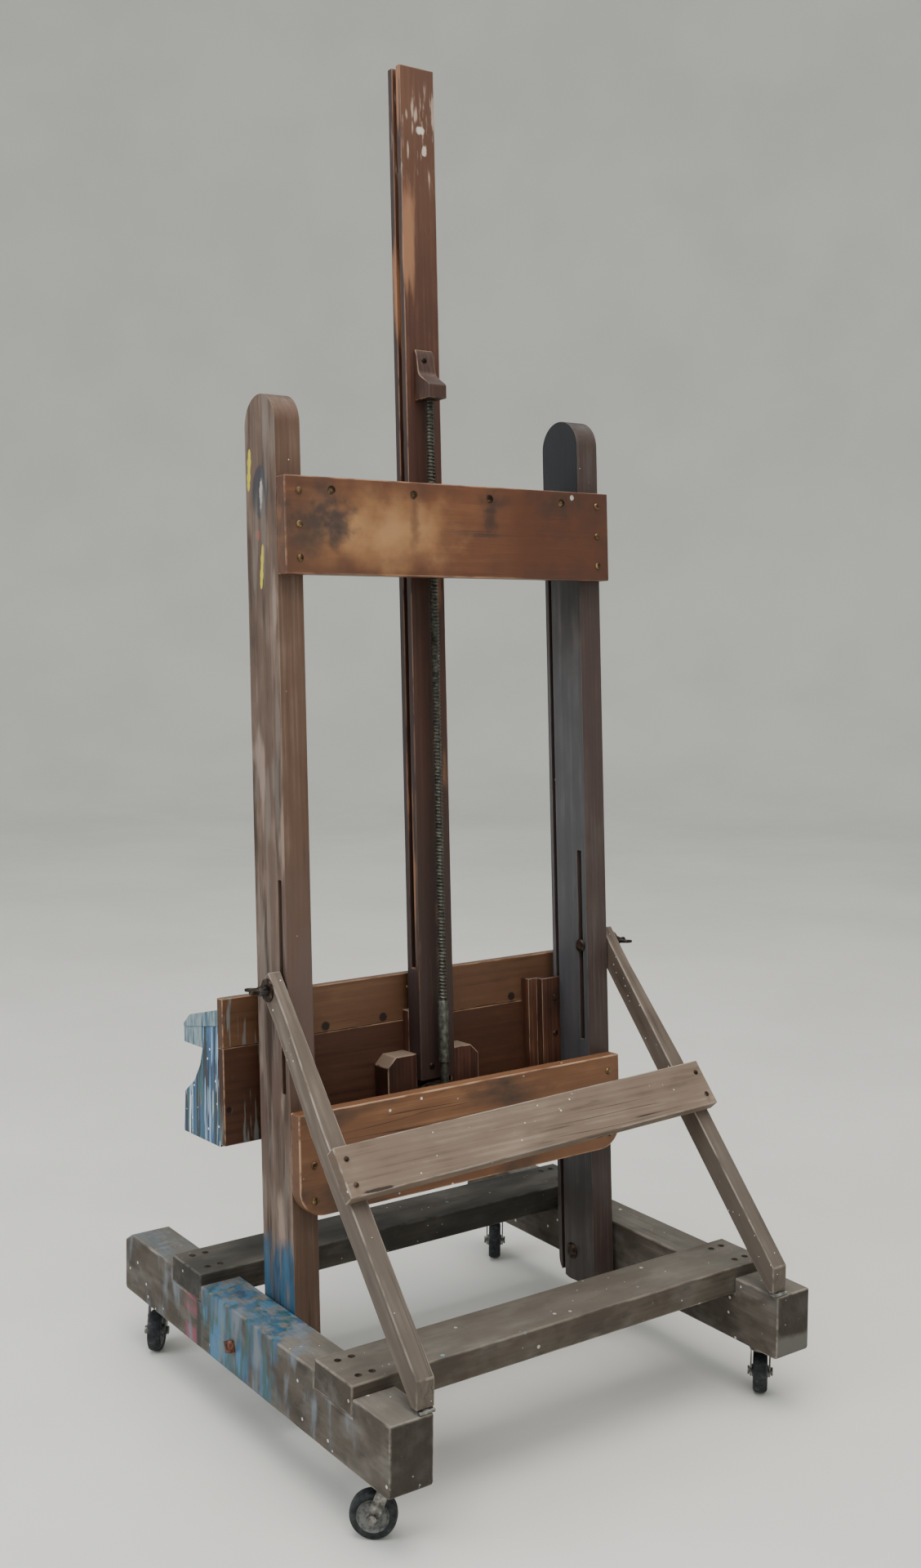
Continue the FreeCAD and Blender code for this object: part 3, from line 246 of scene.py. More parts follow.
def islands(bm, edges):
    """Groups edges that touch each other, in the same order each run."""
    left, groups = dict.fromkeys(edges), []
    while left:
        group, queue = [], [left.popitem()[0]]
        while queue:
            edge = queue.pop()
            group.append(edge)
            for vert in edge.verts:
                for other in vert.link_edges:
                    if other in left:
                        del left[other]
                        queue.append(other)
        groups.append(group)
    return groups


def finish_mesh(obj, sharp=35):
    """Smooth shading with creases where faces meet sharply."""
    for polygon in obj.data.polygons:
        polygon.use_smooth = True
    obj.data.set_sharp_from_angle(angle=math.radians(sharp))


def place(obj, material, body, slot, *nodes):
    """Gives a piece its material, its body and the CAD nodes that it stands for. The slot is not used."""
    obj.data.materials.clear()
    obj.data.materials.append(material)
    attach(obj, body)
    if nodes:
        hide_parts(*nodes)
    return obj


def new_piece(name, bm):
    """A scene object from a bmesh."""
    mesh = bpy.data.meshes.new(name)
    bm.to_mesh(mesh)
    bm.free()
    obj = bpy.data.objects.new(name, mesh)
    bpy.context.scene.collection.objects.link(obj)
    return obj


BODY_OF = {node: body for body, nodes in frame["record"]["behaviour"]["bodies"].items()
           for node in nodes}
# Only edges that turn by more than SHARP radians are rounded, and none of a hole up to SHORT wide.
SHARP, SHORT = 0.4, 24 * MM


def worn_board(node, material, slot, round_mm=1.6):
    """A board with hand-worn arrises: the CAD board with its long sharp edges rounded over."""
    bm = bmesh.new()
    bm.from_mesh(frame["nodes"][node].data)
    bmesh.ops.remove_doubles(bm, verts=bm.verts, dist=1e-5)
    bmesh.ops.dissolve_limit(bm, angle_limit=math.radians(1), verts=bm.verts, edges=bm.edges)
    edge = bm.faces.layers.float.new("edge")
    sharp = [e for e in bm.edges if len(e.link_faces) == 2 and e.calc_face_angle(0) > SHARP]
    arrises = []
    for group in islands(bm, sharp):
        spots = [v.co for v in dict.fromkeys(v for e in group for v in e.verts)]
        if max((a - b).length for a in spots for b in spots) > SHORT:
            arrises += group
    done = bmesh.ops.bevel(bm, geom=arrises, offset=round_mm * MM, segments=3, profile=0.55,
                           affect="EDGES", clamp_overlap=True)
    for face in done["faces"]:
        face[edge] = 1.0
    obj = new_piece(node + "_worn", bm)
    finish_mesh(obj)
    even = obj.modifiers.new("even_shading", "WEIGHTED_NORMAL")
    even.weight, even.keep_sharp = 100, True
    return place(obj, material, BODY_OF[node], slot, node)


ALONG_X = (0, math.pi / 2, 0)
ALONG_Y = (math.pi / 2, 0, 0)
base_slot = "weathered_base_wood"


def base_timber(name, turn, seed):
    """Softwood gone silver and brown outdoors, matt, dusty on top and spattered all over."""
    f = timber(name, "#2a2620", "#4a443c", "#686159", turn, seed, ring_mm=7, contrast=0.6,
               checks=0.9, rough=0.78, worn="#7f786e")
    f.coat(f.both(f.patches(60, 0.45, 0.65, detail=5, offset=2), 0.65), "#352e27", 0.8)
    f.coat(f.both(f.patches(28, 0.45, 0.68, (1, 1, 2), 5, offset=41), 0.35), "#706d68", 0.85)
    f.coat(f.both(f.patches(17, 0.52, 0.7, (1, 1, 2), 6, offset=47), 0.4), "#25201c", 0.85)
    f.coat(f.both(f.facing((0, 0, 1)), 0.30), "#817e76", 0.85)
    f.coat(f.speckle(22, 6, 0.30), "#b9b8b0", 0.55, 0.4)
    f.coat(f.speckle(31, 8, 0.25, offset=3.1), "#71848f", 0.55, 0.4)
    f.coat(f.speckle(9, 2.4, 0.3, offset=7.7), "#cfcfc8", 0.5)
    return f


for side, seed in (("right", 0.3), ("left", 1.9)):
    f = base_timber(f"weathered_runner_{side}", ALONG_Y, seed)
    low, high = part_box(f"base_runner_{side}")
    if side == "right":
        pivot_y = 0.5 * (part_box("pivot_nuts")[0].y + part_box("pivot_nuts")[1].y)
        # Blue, teal and pink paint has run down the outer face beside the tray.
        run = f.patches(16, 0.34, 0.56, (1, 1, 6), 5, at=f.place, offset=4)
        blue = f.between(1, pivot_y - 0.085, pivot_y + 0.115, 12, 30)
        hue = f.colour_by(f.cloud(30, (1, 1, 4), 3, at=f.place, offset=8), (0.32, "#1b3448"),
                          (0.43, "#24506e"), (0.52, "#1f4344"), (0.60, "#2f6284"),
                          (0.70, "#54666e"))
        f.coat(f.both(blue, run), hue, 0.45, 0.6)
        pink = f.between(1, pivot_y - 0.142, pivot_y - 0.104, 6, 10)
        f.coat(f.both(pink, f.patches(20, 0.34, 0.56, (1, 1, 5), 4, offset=6)), "#703444", 0.5, 0.5)
        stripe = f.between(1, pivot_y - 0.104, pivot_y - 0.094, 2, 5)
        f.coat(stripe, "#282623", 0.6)
        top = f.both(f.facing((0, 0, 1)), f.between(1, low.y + 0.02, pivot_y + 0.10, 30, 40))
        worn_top = f.patches(24, 0.40, 0.66, (1, 1, 3), 5, offset=15)
        f.coat(f.both(top, worn_top, 0.45), "#4a5a64", 0.6, 0.4)
        wash = f.between(1, low.y, pivot_y + 0.30, 40, 60)
        f.coat(f.both(wash, f.patches(35, 0.52, 0.68, (1, 1, 3), 5, at=f.place, offset=3)),
               "#626970", 0.65, 0.3)
    else:
        f.coat(f.both(f.between(2, low.z, low.z + 0.03, 6, 14), f.end_grain), "#7e7c77", 0.8)
    f.coat(f.both(f.end_grain, f.facing((0, 1, 0)), 0.6), "#2a2720", 0.9)
    worn_board(f"base_runner_{side}", f.done(0.5, 0.7), base_slot, 2.6)

for name, seed in (("front", 2.7), ("rear", 4.1)):
    f = base_timber(f"weathered_rail_{name}", ALONG_X, seed)
    tint, amount = ("#1d1f1c", 0.75) if name == "front" else ("#453b31", 0.45)
    f.coat(f.both(f.patches(90, 0.3, 0.6, (1, 1, 3), 3, offset=12), amount), tint)
    worn_board(f"base_rail_{name}", f.done(0.5, 0.7), base_slot, 2.2)


# ---------------------------------------------------------------- screws in the laps
# Countersunk steel wood screws, brown with rust, four through each lap. The heads sit in their
# holes, each slot at its own angle.


def rusty(name, dark="#1c1815", mid="#3a2e27", light="#5d4a3c", rough=0.55, metallic=0.75):
    """Forged or turned steel left bare: dark oxide with browner, rougher patches."""
    f = Finish(name)
    f.colour = f.colour_by(f.cloud(7, detail=6), (0.35, dark), (0.52, mid), (0.68, light))
    f.rough = f.weighted(rough - 0.2, (f.cloud(4, detail=5, offset=2), 0.4))
    f.relief = f.cloud(1.6, detail=5, offset=5)
    return f.done(0.12, 0.5, metallic, 0.4)


# Plain steel hardware gone near black: dull, with browner rust in patches.
steel = rusty("oxidised_steel")


def lathe(name, profile, steps=32, closed=False):
    """A turned shape about Z from (radius, height) points in millimetres."""
    bm = bmesh.new()
    ring = [bm.verts.new((r * MM, 0, z * MM)) for r, z in profile]
    edges = [bm.edges.new(pair) for pair in zip(ring, ring[1:])]
    if closed:
        edges.append(bm.edges.new((ring[-1], ring[0])))
    bmesh.ops.spin(bm, geom=ring + edges, cent=(0, 0, 0), axis=(0, 0, 1),
                   angle=math.tau, steps=steps, use_duplicate=False)
    bmesh.ops.remove_doubles(bm, verts=bm.verts, dist=1e-6)
    bmesh.ops.recalc_face_normals(bm, faces=bm.faces)
    return new_piece(name, bm)


def carve(obj, boxes):
    """Cuts boxes (middle and size in millimetres) out of a shape."""
    bm = bmesh.new()
    for middle, size in boxes:
        made = bmesh.ops.create_cube(bm, size=1)["verts"]
        bmesh.ops.transform(bm, verts=made, matrix=Matrix.LocRotScale(
            Vector(middle) * MM, None, Vector(size) * MM))
    knife = new_piece("knife", bm)
    cut = obj.modifiers.new("cut", "BOOLEAN")
    cut.object, cut.operation, cut.solver = knife, "DIFFERENCE", "EXACT"
    graph = bpy.context.evaluated_depsgraph_get()
    mesh = bpy.data.meshes.new_from_object(obj.evaluated_get(graph))
    obj.modifiers.clear()
    obj.data = mesh
    bpy.data.objects.remove(knife)
    return obj


def begun(name, *inputs):
    """A Geometry Nodes tree with (name, kind) inputs, and the sockets that hand them out."""
    tree = bpy.data.node_groups.new(name, "GeometryNodeTree")
    for label, kind in inputs:
        tree.interface.new_socket(label, in_out="INPUT", socket_type="NodeSocket" + kind)
    tree.interface.new_socket("Pieces", in_out="OUTPUT", socket_type="NodeSocketGeometry")
    return tree, add(tree, "NodeGroupInput").outputs


def ended(tree, geometry, finish):
    """Ends a tree with real, painted pieces."""
    real = add(tree, "GeometryNodeRealizeInstances", {0: geometry})
    painted = add(tree, "GeometryNodeSetMaterial", {
        "Geometry": real.outputs[0], "Material": finish})
    add(tree, "NodeGroupOutput", {0: painted.outputs[0]})
    return tree


def repeat_tree():
    """One shape on every point, each turned about its own axis by chance."""
    tree, given = begun("repeat_on_points", ("Points", "Geometry"), ("Shape", "Object"),
                        ("Aim", "Vector"), ("Spin", "Float"), ("Seed", "Int"),
                        ("Finish", "Material"))
    shape = add(tree, "GeometryNodeObjectInfo", {"Object": given["Shape"]})
    chance = add(tree, "FunctionNodeRandomValue", {"Seed": given["Seed"], 3: given["Spin"]})
    twist = add(tree, "ShaderNodeCombineXYZ", {"Z": chance.outputs[1]})
    aim = add(tree, "FunctionNodeEulerToRotation", {0: given["Aim"]})
    spin = add(tree, "FunctionNodeEulerToRotation", {0: twist.outputs[0]})
    turn = add(tree, "FunctionNodeRotateRotation", {0: aim.outputs[0], 1: spin.outputs[0]},
               rotation_space="LOCAL")
    placed = add(tree, "GeometryNodeInstanceOnPoints", {
        "Points": given["Points"], "Instance": shape.outputs["Geometry"],
        "Rotation": turn.outputs[0]})
    return ended(tree, placed.outputs[0], given["Finish"])


REPEAT = repeat_tree()


def grown(name, bm, tree, **values):
    """A piece made by a Geometry Nodes tree, turned into a plain mesh."""
    seed = new_piece(name + "_points", bm)
    modifier = seed.modifiers.new("grow", "NODES")
    modifier.node_group = tree
    names = {item.name: item.identifier for item in tree.interface.items_tree
             if item.item_type == "SOCKET" and item.in_out == "INPUT"}
    for key, value in values.items():
        modifier[names[key]] = value
    graph = bpy.context.evaluated_depsgraph_get()
    mesh = bpy.data.meshes.new_from_object(seed.evaluated_get(graph))
    bpy.data.objects.remove(seed)
    obj = bpy.data.objects.new(name, mesh)
    bpy.context.scene.collection.objects.link(obj)
    finish_mesh(obj)
    return obj


def solids(node):
    """Boxes (lowest and highest corner) of a CAD node's separate solids."""
    bm = bmesh.new()
    bm.from_mesh(frame["nodes"][node].data)
    bmesh.ops.remove_doubles(bm, verts=bm.verts, dist=1e-5)
    boxes = []
    for group in islands(bm, bm.edges):
        spots = [v.co.copy() for e in group for v in e.verts]
        boxes.append((Vector(map(min, *spots)), Vector(map(max, *spots))))
    bm.free()
    return boxes


def repeated(name, spots, shape, aim, material, spin=math.tau, seed=1):
    """The shape at each spot, its Z turned to aim (an Euler angle)."""
    bm = bmesh.new()
    for spot in spots:
        bm.verts.new(spot)
    return grown(name, bm, REPEAT, Shape=shape, Aim=aim, Spin=spin, Seed=seed, Finish=material)


profile = [(0, -24), (2.0, -24), (2.0, -3), (4.5, 0), (4.3, 0.3), (0, 0.4)]
flat_head = carve(lathe("flat_head", profile, 20), [((0, 0, 0.3), (12, 0.9, 1.2))])
SEAT = 0.6 * MM  # how far a flat head sits below the top of its hole
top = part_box("base_lap_screws")[1].z - SEAT
tops = [Vector(((low.x + high.x) / 2, (low.y + high.y) / 2, top))
        for low, high in solids("base_lap_screws")]
place(repeated("lap_screws", tops, flat_head, (0, 0, 0), steel, seed=4), steel, "base",
      "dark_steel", "base_lap_screws")


# ---------------------------------------------------------------- pivot bolts
# Coach bolts on which the two posts tilt: a domed head inside each post, a spacing washer between
# post and runner, and a square nut on the runner's outer face. All are bare, browned steel.

pivot = Vector((0, *[(a + b) / 2 for a, b in zip(*[c.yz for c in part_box("pivot_nuts")])]))
IN = {"right": (0, -math.pi / 2, 0), "left": (0, math.pi / 2, 0)}
OUT = {"right": IN["left"], "left": IN["right"]}


def joined(name, *objs):
    """Several shapes as one piece."""
    bm = bmesh.new()
    for obj in objs:
        bm.from_mesh(obj.data)
        bpy.data.objects.remove(obj)
    obj = new_piece(name, bm)
    finish_mesh(obj)
    return obj


def turned_to(obj, spot, aim):
    """Moves a shape's own mesh to a spot, with its Z along aim."""
    obj.data.transform(Matrix.LocRotScale(Vector(spot), None, None)
                       @ Matrix.Rotation(aim[0], 4, "X") @ Matrix.Rotation(aim[1], 4, "Y")
                       @ Matrix.Rotation(aim[2], 4, "Z"))
    return obj


def dome(radius, height, steps=6):
    """Profile of a domed head, from its rim to its crown."""
    return [(radius * math.cos(t), height * (0.25 + 0.75 * math.sin(t)))
            for t in [math.pi / 2 * i / steps for i in range(steps)]] + [(0, height)]


def coach_bolts(name, node, centre, shank, radius, rise, trim=0):
    """A coach bolt through each side, its domed head on the inner end."""
    bolts = []
    for side, sign in (("right", 1), ("left", -1)):
        low, high = [b for b in solids(node) if b[0].x * sign > 0][0]
        inner = low.x if sign > 0 else high.x
        tip = rise + trim - (high.x - low.x) / MM
        bolt = lathe("bolt", [(0, tip), (shank - 0.8, tip), (shank, tip + 1), (shank, 0),
                              (radius, 0), (radius, 1.2)] + dome(radius, rise)[1:], 32)
        bolts.append(turned_to(bolt, (inner + sign * rise * MM, centre.y, centre.z), IN[side]))
    return joined(name, *bolts)


def washers(name, node, centre, bore, radius, bevel, steps):
    """A flat washer for each side, its outer edges bevelled."""
    rings = []
    for low, high in solids(node):
        thick = (high.x - low.x) / MM
        ring = lathe("washer", [(bore, 0), (radius - bevel, 0), (radius, bevel),
                                (radius, thick - bevel), (radius - bevel, thick),
                                (bore, thick)], steps, closed=True)
        rings.append(turned_to(ring, (low.x, centre.y, centre.z), OUT["right"]))
    return joined(name, *rings)


def radius_of(node):
    """The radius of a node's first solid, which is round about X, in millimetres."""
    low, high = solids(node)[0]
    return (high.y - low.y) / 2 / MM


place(coach_bolts("pivot_coach_bolts", "pivot_bolts", pivot, 5, radius_of("pivot_bolts"), rise=5,
                  trim=1), steel, "base", "dark_steel", "pivot_bolts")

nut_shapes = []
for low, high in solids("pivot_nuts"):
    bm = bmesh.new()
    made = bmesh.ops.create_cube(bm, size=1)["verts"]
    bmesh.ops.transform(bm, verts=made, matrix=Matrix.LocRotScale(
        (low + high) / 2, Matrix.Rotation(0.35, 3, "X"), high - low))
    bmesh.ops.bevel(bm, geom=bm.edges[:], offset=1.1 * MM, segments=3, profile=0.5, affect="EDGES")
    nut_shapes.append(new_piece("nut", bm))
# Steel eaten by red rust, rough and hardly metallic any more.
red_rust = rusty("rusted_nut", "#33221b", "#5d3a2c", "#7d5a48", 0.75, 0.4)
place(joined("pivot_square_nuts", *nut_shapes), red_rust, "base", "dark_steel", "pivot_nuts")
place(washers("pivot_washers", "pivot_spacers", pivot, 5.3, radius_of("pivot_spacers"), bevel=0.6,
              steps=32), steel, "base", "dark_steel", "pivot_spacers")


# ---------------------------------------------------------------- posts
# Two planks of reddish softwood with rounded tops, slotted for the lock bolts and grooved inside
# for the tray's runners. Years of brown stain have worn grey, and the right one has caught paint.

joint = {j["name"]: j for j in frame["joints"]}
up = Vector(joint["mast_lift"]["axis"])
LEAN = math.atan2(-up.y, up.z)
TILT = Matrix.Translation(pivot) @ Matrix.Rotation(LEAN, 4, "X")
inverse = TILT.inverted()
UPRIGHT = (-LEAN, 0, 0)
post_slot = "post_wood"
POST_SIDE = 281  # millimetres across: the outer faces of the posts


def spot_at(x, v, h):
    """A place given across, behind and above the pivot in millimetres."""
    return TILT @ (Vector((x, v, h)) * MM)


def from_pivot(y, z):
    """How far a place is behind and above the pivot along the posts, in millimetres."""
    spot = inverse @ Vector((0, y, z))
    return spot.y / MM, spot.z / MM


def slash(f, start, end, wide_mm, code, lift=0.8):
    """A stroke of thick paint from one place to another, with broken ends."""
    for i in range(5):
        middle = start.lerp(end, (i + 0.5) / 5)
        size = (30, wide_mm * (0.9 + 0.3 * (i % 2)), (start - end).length / MM * 0.36)
        f.coat(f.spot(middle, size, 0.15, 0.2, 6), code, 0.45, lift)


# Brown-stained softwood, worn grey and rubbed pale, with thick oil paint low on its outer face. Its inner face is
# darkened blue-grey as painted shade.
f = timber("stained_post_right", "#2f241e", "#56453a", "#77665a", UPRIGHT, 0.8, ring_mm=8,
           contrast=0.85, checks=0.7, rough=0.62, worn="#8c7a6c")
low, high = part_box("post_right")
# Painted shade: the inner face, turned from the light, is darkened to a blue-grey.
f.coat(f.both(f.facing((-1, 0, 0)), 0.6), "#434346", 0.6)
f.coat(f.both(f.facing((0, 1, 0)), 0.45), "#543928", 0.5)
f.coat(f.both(f.patches(120, 0.48, 0.62, (1, 1, 3), 4, offset=21),
              f.between(2, 0.1, 0.75, 120)), "#54443d", 0.7)
f.coat(f.both(f.patches(45, 0.56, 0.66, (1, 1, 5), 5, offset=31), f.facing((1, 0, 0))),
       "#817064", 0.6)
f.coat(f.both(f.patches(33, 0.54, 0.66, (1, 1, 7), 5, offset=37), f.facing((1, 0, 0))),
       "#33281f", 0.6)
patch = f.spot(spot_at(POST_SIDE, 8, 1153), (40, 46, 74), 0.12, 0.15, 12)
f.coat(patch, "#363438", 0.5, 0.4)
pale = f.spot(spot_at(POST_SIDE, 10, 1150), (40, 9, 46), 0.5, 0.4, 8)
f.coat(f.both(patch, pale), "#a6a199", 0.5, 0.5)
slash(f, spot_at(POST_SIDE, -20, 1210), spot_at(POST_SIDE, -25, 1160), 9, "#b2a830")
slash(f, spot_at(POST_SIDE, 12, 1077), spot_at(POST_SIDE, 5, 1024), 8, "#b6ac32")
f.coat(f.spot(spot_at(POST_SIDE, -1, 1094), (30, 12, 16), 0.5, 0.3, 6), "#7f4336", 0.5, 0.5)
foot = f.both(f.between(2, low.z, pivot.z + 0.128, 16, 26), f.facing((1, 0, 0)))
f.coat(f.both(foot, f.patches(13, 0.26, 0.56, (1, 1, 6), 5, at=f.place, offset=6)),
       f.colour_by(f.cloud(26, (1, 1, 3), 3, offset=9), (0.35, "#1e394e"), (0.6, "#2e5670")),
       0.45, 0.6)
f.coat(f.both(f.patches(19, 0.5, 0.62, (1, 1, 10), 5, offset=51), f.facing((1, 0, 0)), 0.55),
       "#6f675f", 0.65)
f.coat(f.speckle(40, 6, 0.22, offset=1.3), "#d8d4ca", 0.5, 0.5)
f.coat(f.speckle(12, 2.2, 0.16, offset=5.3), "#cbc6bc", 0.5)
post_material = f.done(0.45, 0.65)
worn_board("post_right", post_material, post_slot, 2.8)

# The same stain on the other post, nearly black with handling and a little glossier. Its inner face carries
# painted shade: blue-grey, and near black towards the top.
f = timber("stained_post_left", "#24201f", "#3c3734", "#585451", UPRIGHT, 2.9, ring_mm=8,
           contrast=0.85, checks=0.6, rough=0.6, worn="#817a73")
f.coat(f.both(f.facing((0, 1, 0)), 0.6), "#3c2b26", 0.5)
# Painted shade on the inner face: near black towards the top and blue-grey below, as in the shade between the
# posts.
f.coat(f.both(f.facing((1, 0, 0)), f.between(2, pivot.z + 1.02, 1.5, 90)), "#202227", 0.5)
f.coat(f.both(f.facing((1, 0, 0)), 0.5, f.between(2, 0.25, 1.05, 90)), "#54565d", 0.5)
f.coat(f.both(f.speckle(9, 3, 0.3, offset=4.3), f.between(2, pivot.z + 1.2, 1.5, 30)),
       "#c2c2be", 0.5, 0.4)
f.coat(f.speckle(30, 5, 0.16, offset=2.3), "#b9b8b4", 0.5, 0.4)
worn_board("post_left", f.done(0.45, 0.65), post_slot, 2.8)


# ---------------------------------------------------------------- crossboards of the posts
# Two wide boards of orange-stained pine screwed across the backs of the posts. The varnish is
# still glossy, but rubbed pale in the middle and marked by a dark spill near the painted post.

board_slot = "orange_board_wood"
BOARD_FACE = 74  # millimetres behind the pivot: the rear faces of the crossboards
# Orange-stained pine under satin varnish, rubbed through to pale wood in the middle.
f = timber("varnished_crossboard", "#3d2217", "#5b3723", "#784e2f", ALONG_X, 1.1, ring_mm=14,
           contrast=0.55, checks=0.35, rough=0.42, worn="#9e7759")
pale = f.both(f.spot(spot_at(150, BOARD_FACE, 1096), (330, 120, 150), 0.9, 1.2, 60), 0.6)
f.coat(pale, "#936a43", 0.48)
f.coat(f.both(f.spot(spot_at(112, BOARD_FACE, 1096), (210, 90, 100), 0.9, 1.2, 35), 0.6),
       "#a67f56", 0.5)
f.coat(f.both(f.outside(f.between(0, -0.09, 0.5, 60, 30)), f.facing((0, 1, 0))), "#4e2d1c", 0.42)
for x, h, wide, high, code, amount in (
        (236, 1104, 84, 48, "#302724", 0.85), (204, 1112, 50, 44, "#342926", 0.8),
        (216, 1140, 30, 40, "#392b26", 0.7), (244, 1078, 60, 26, "#433125", 0.6),
        (74, 1118, 12, 70, "#452c21", 0.6), (84, 1060, 60, 20, "#533222", 0.4),
        (-59, 1128, 18, 46, "#2a1e19", 0.75), (-66, 1146, 44, 20, "#32231c", 0.6),
        (-191, 1146, 56, 30, "#2e211c", 0.7), (20, 1082, 26, 70, "#563424", 0.45)):
    stain = f.spot(spot_at(x, BOARD_FACE, h), (wide * 1.6, 60, high * 1.6), 0.9, 1.1, 18)
    f.coat(f.both(stain, amount), code, 0.5)
f.coat(f.spot(spot_at(-211, BOARD_FACE, 1160), (8, 40, 8), 0.3, 0.3, 6), "#cbc8bf", 0.5, 0.5)
f.coat(f.both(f.patches(60, 0.55, 0.75, (1, 1, 6), 5, offset=13), 0.4), "#946b48", 0.5)
rim = f.outside(f.spot(spot_at(0, BOARD_FACE, 1103), (640, 300, 190), 0.9, 0.7, 40))
f.coat(f.both(rim, 0.5), "#3a231a", 0.5)
# Painted shade: a dark ring round each screw head along the top of the board, for the shade round the head.
for x in (208, 74, -58, -191):
    f.coat(f.spot(spot_at(x, BOARD_FACE, 1151), (13, 60, 13), 0.1, 0.4, 6), "#271a15", 0.6)
worn_board("crossboard_upper", f.done(0.3, 0.55, specular=0.45), board_slot, 2.0)

# The same varnish, paler and drier, and spattered with white.
f = timber("varnished_low_crossboard", "#4a3022", "#6a4830", "#896344", ALONG_X, 3.3, ring_mm=14,
           contrast=0.55, checks=0.4, rough=0.5, worn="#ad8c6f")
f.coat(f.both(f.patches(60, 0.48, 0.68, (1, 1, 2.5), 5, offset=3), f.facing((0, 1, 0))),
       "#433228", 0.55)
f.coat(f.speckle(26, 6, 0.3, offset=0.7), "#d6d0c5", 0.5, 0.5)
f.coat(f.speckle(17, 4, 0.16, offset=4.7), "#7c93a2", 0.5, 0.5)
worn_board("crossboard_lower", f.done(0.3, 0.55, specular=0.42), board_slot, 2.0)

BACK = (LEAN - math.pi / 2, 0, 0)
# Brass gone brown, with a soft gleam left on the heads.
browned = rusty("browned_brass", "#3d2f20", "#66533a", "#927b56", 0.38, 0.85)
round_head = carve(lathe("round_head", [(0, -1.5), (2, -1.5), (2, 0)] + dome(4.9, 2.5, 5), 20),
                   [((0, 0, 2.4), (12, 0.9, 1.8))])
# Millimetres behind the pivot: a screw that reaches past BOARD_BACK has a round head standing on
# the board, and any other has a flat head sunk in it.
HEAD_RADIUS, BOARD_BACK = 4.6, 75.2
PROUD_SEAT, SUNK_SEAT = 74.6, 71.4
proud, sunk = [], []
for low, high in solids("crossboard_screws"):
    x = (low.x + high.x) / 2
    tip = inverse @ Vector((x, high.y, high.z - HEAD_RADIUS * MM))
    heads, seat = (proud, PROUD_SEAT) if tip.y > BOARD_BACK * MM else (sunk, SUNK_SEAT)
    heads.append(TILT @ Vector((x, seat * MM, tip.z)))
raised = repeated("raised", proud, round_head, BACK, steel, seed=2)
counter = repeated("counter", sunk, flat_head, BACK, steel, seed=5)
place(joined("crossboard_slotted_screws", raised, counter), browned, "tilting_frame", "dark_steel",
      "crossboard_screws")


# ---------------------------------------------------------------- head rail, lift nut and guides
# Behind the upper crossboard a stout rail holds the bronze-grey nut that the lead screw climbs
# through, and two hardwood guides whose tongues run in the mast's side grooves.

# Stained softwood kept out of the light: even and matt.
f = timber("stained_head_rail", "#34261f", "#533d30", "#705748", ALONG_X, 5.2, ring_mm=9)
head_material = f.done(0.35, 0.6)
worn_board("head_rail", head_material, post_slot, 1.6)
worn_board("mast_guides", head_material, post_slot, 0.8)
nut_finish = frame["nodes"]["lift_nut"].data.materials
nut_finish.clear()
nut_finish.append(steel)


# ---------------------------------------------------------------- mast and top block
# The mast is one straight length of dark stained pine, grooved down both edges. A shaped block
# is screwed to its back, in which the upper end of the lead screw turns.

mast_slot = "mast_wood"
# Pine stained nearly black, polished by its guides, with red wood showing where it is worn. Its side facing the
# right post is darkened further as painted shade.
f = timber("stained_mast", "#271610", "#3f251b", "#593928", UPRIGHT, 6.1, ring_mm=9,
           contrast=0.7, checks=0.45, rough=0.45, worn="#7f604b")
f.coat(f.both(f.outside(f.between(2, 0.9, 3, 260)), f.facing((0, 1, 0))), "#31211c", 0.5)
f.coat(f.both(f.facing((0, 1, 0)), f.between(2, 1.62, 2.5, 140), 0.45), "#604231", 0.42)
f.coat(f.both(f.between(2, 1.74, 1.86, 26, 30),
              f.patches(7, 0.54, 0.64, (1, 1, 7), 4, offset=8)), "#978577", 0.5, 0.3)
# Painted shade: the side facing the right post is made near black and even, as it lies in shade between the posts.
f.coat(f.both(f.facing((1, 0, 0)), 0.75), "#2a2324", 0.6)
f.coat(f.patches(30, 0.60, 0.70, (1, 1, 9), 5, offset=14), "#855e44", 0.5)
f.coat(f.spot(spot_at(-5, -4, 1694), (16, 20, 12), 0.7, 0.4, 6), "#bab1a6", 0.5)
f.coat(f.spot(spot_at(-11, -4, 1666), (9, 20, 18), 0.7, 0.4, 6), "#b1a699", 0.5)
f.coat(f.speckle(46, 4, 0.18, offset=2.2), "#cfc8bd", 0.5, 0.3)
mast_material = f.done(0.3, 0.55, specular=0.42)
worn_board("mast", mast_material, mast_slot, 1.6)
# The same dark stain on a close-grained block, with its corners rubbed.
f = timber("stained_top_block", "#201511", "#35221b", "#4e362a", UPRIGHT, 7.7, ring_mm=6,
           rough=0.45, worn="#795c46")
worn_board("screw_top_block", f.done(0.3, 0.55, specular=0.42), mast_slot, 1.2)


# ---------------------------------------------------------------- lead screw, gear and bracket
# A long threaded steel screw, oiled and nearly black, lifts the mast. Its plain foot turns in an
# arched iron bracket, and carries the bevel gear that the crank drives.

# Machined steel under old oil: dark grey, with a sheen on the crests of the thread.
oiled = rusty("oiled_screw_steel", "#33332d", "#4a4a43", "#63635a", 0.42, 0.6)


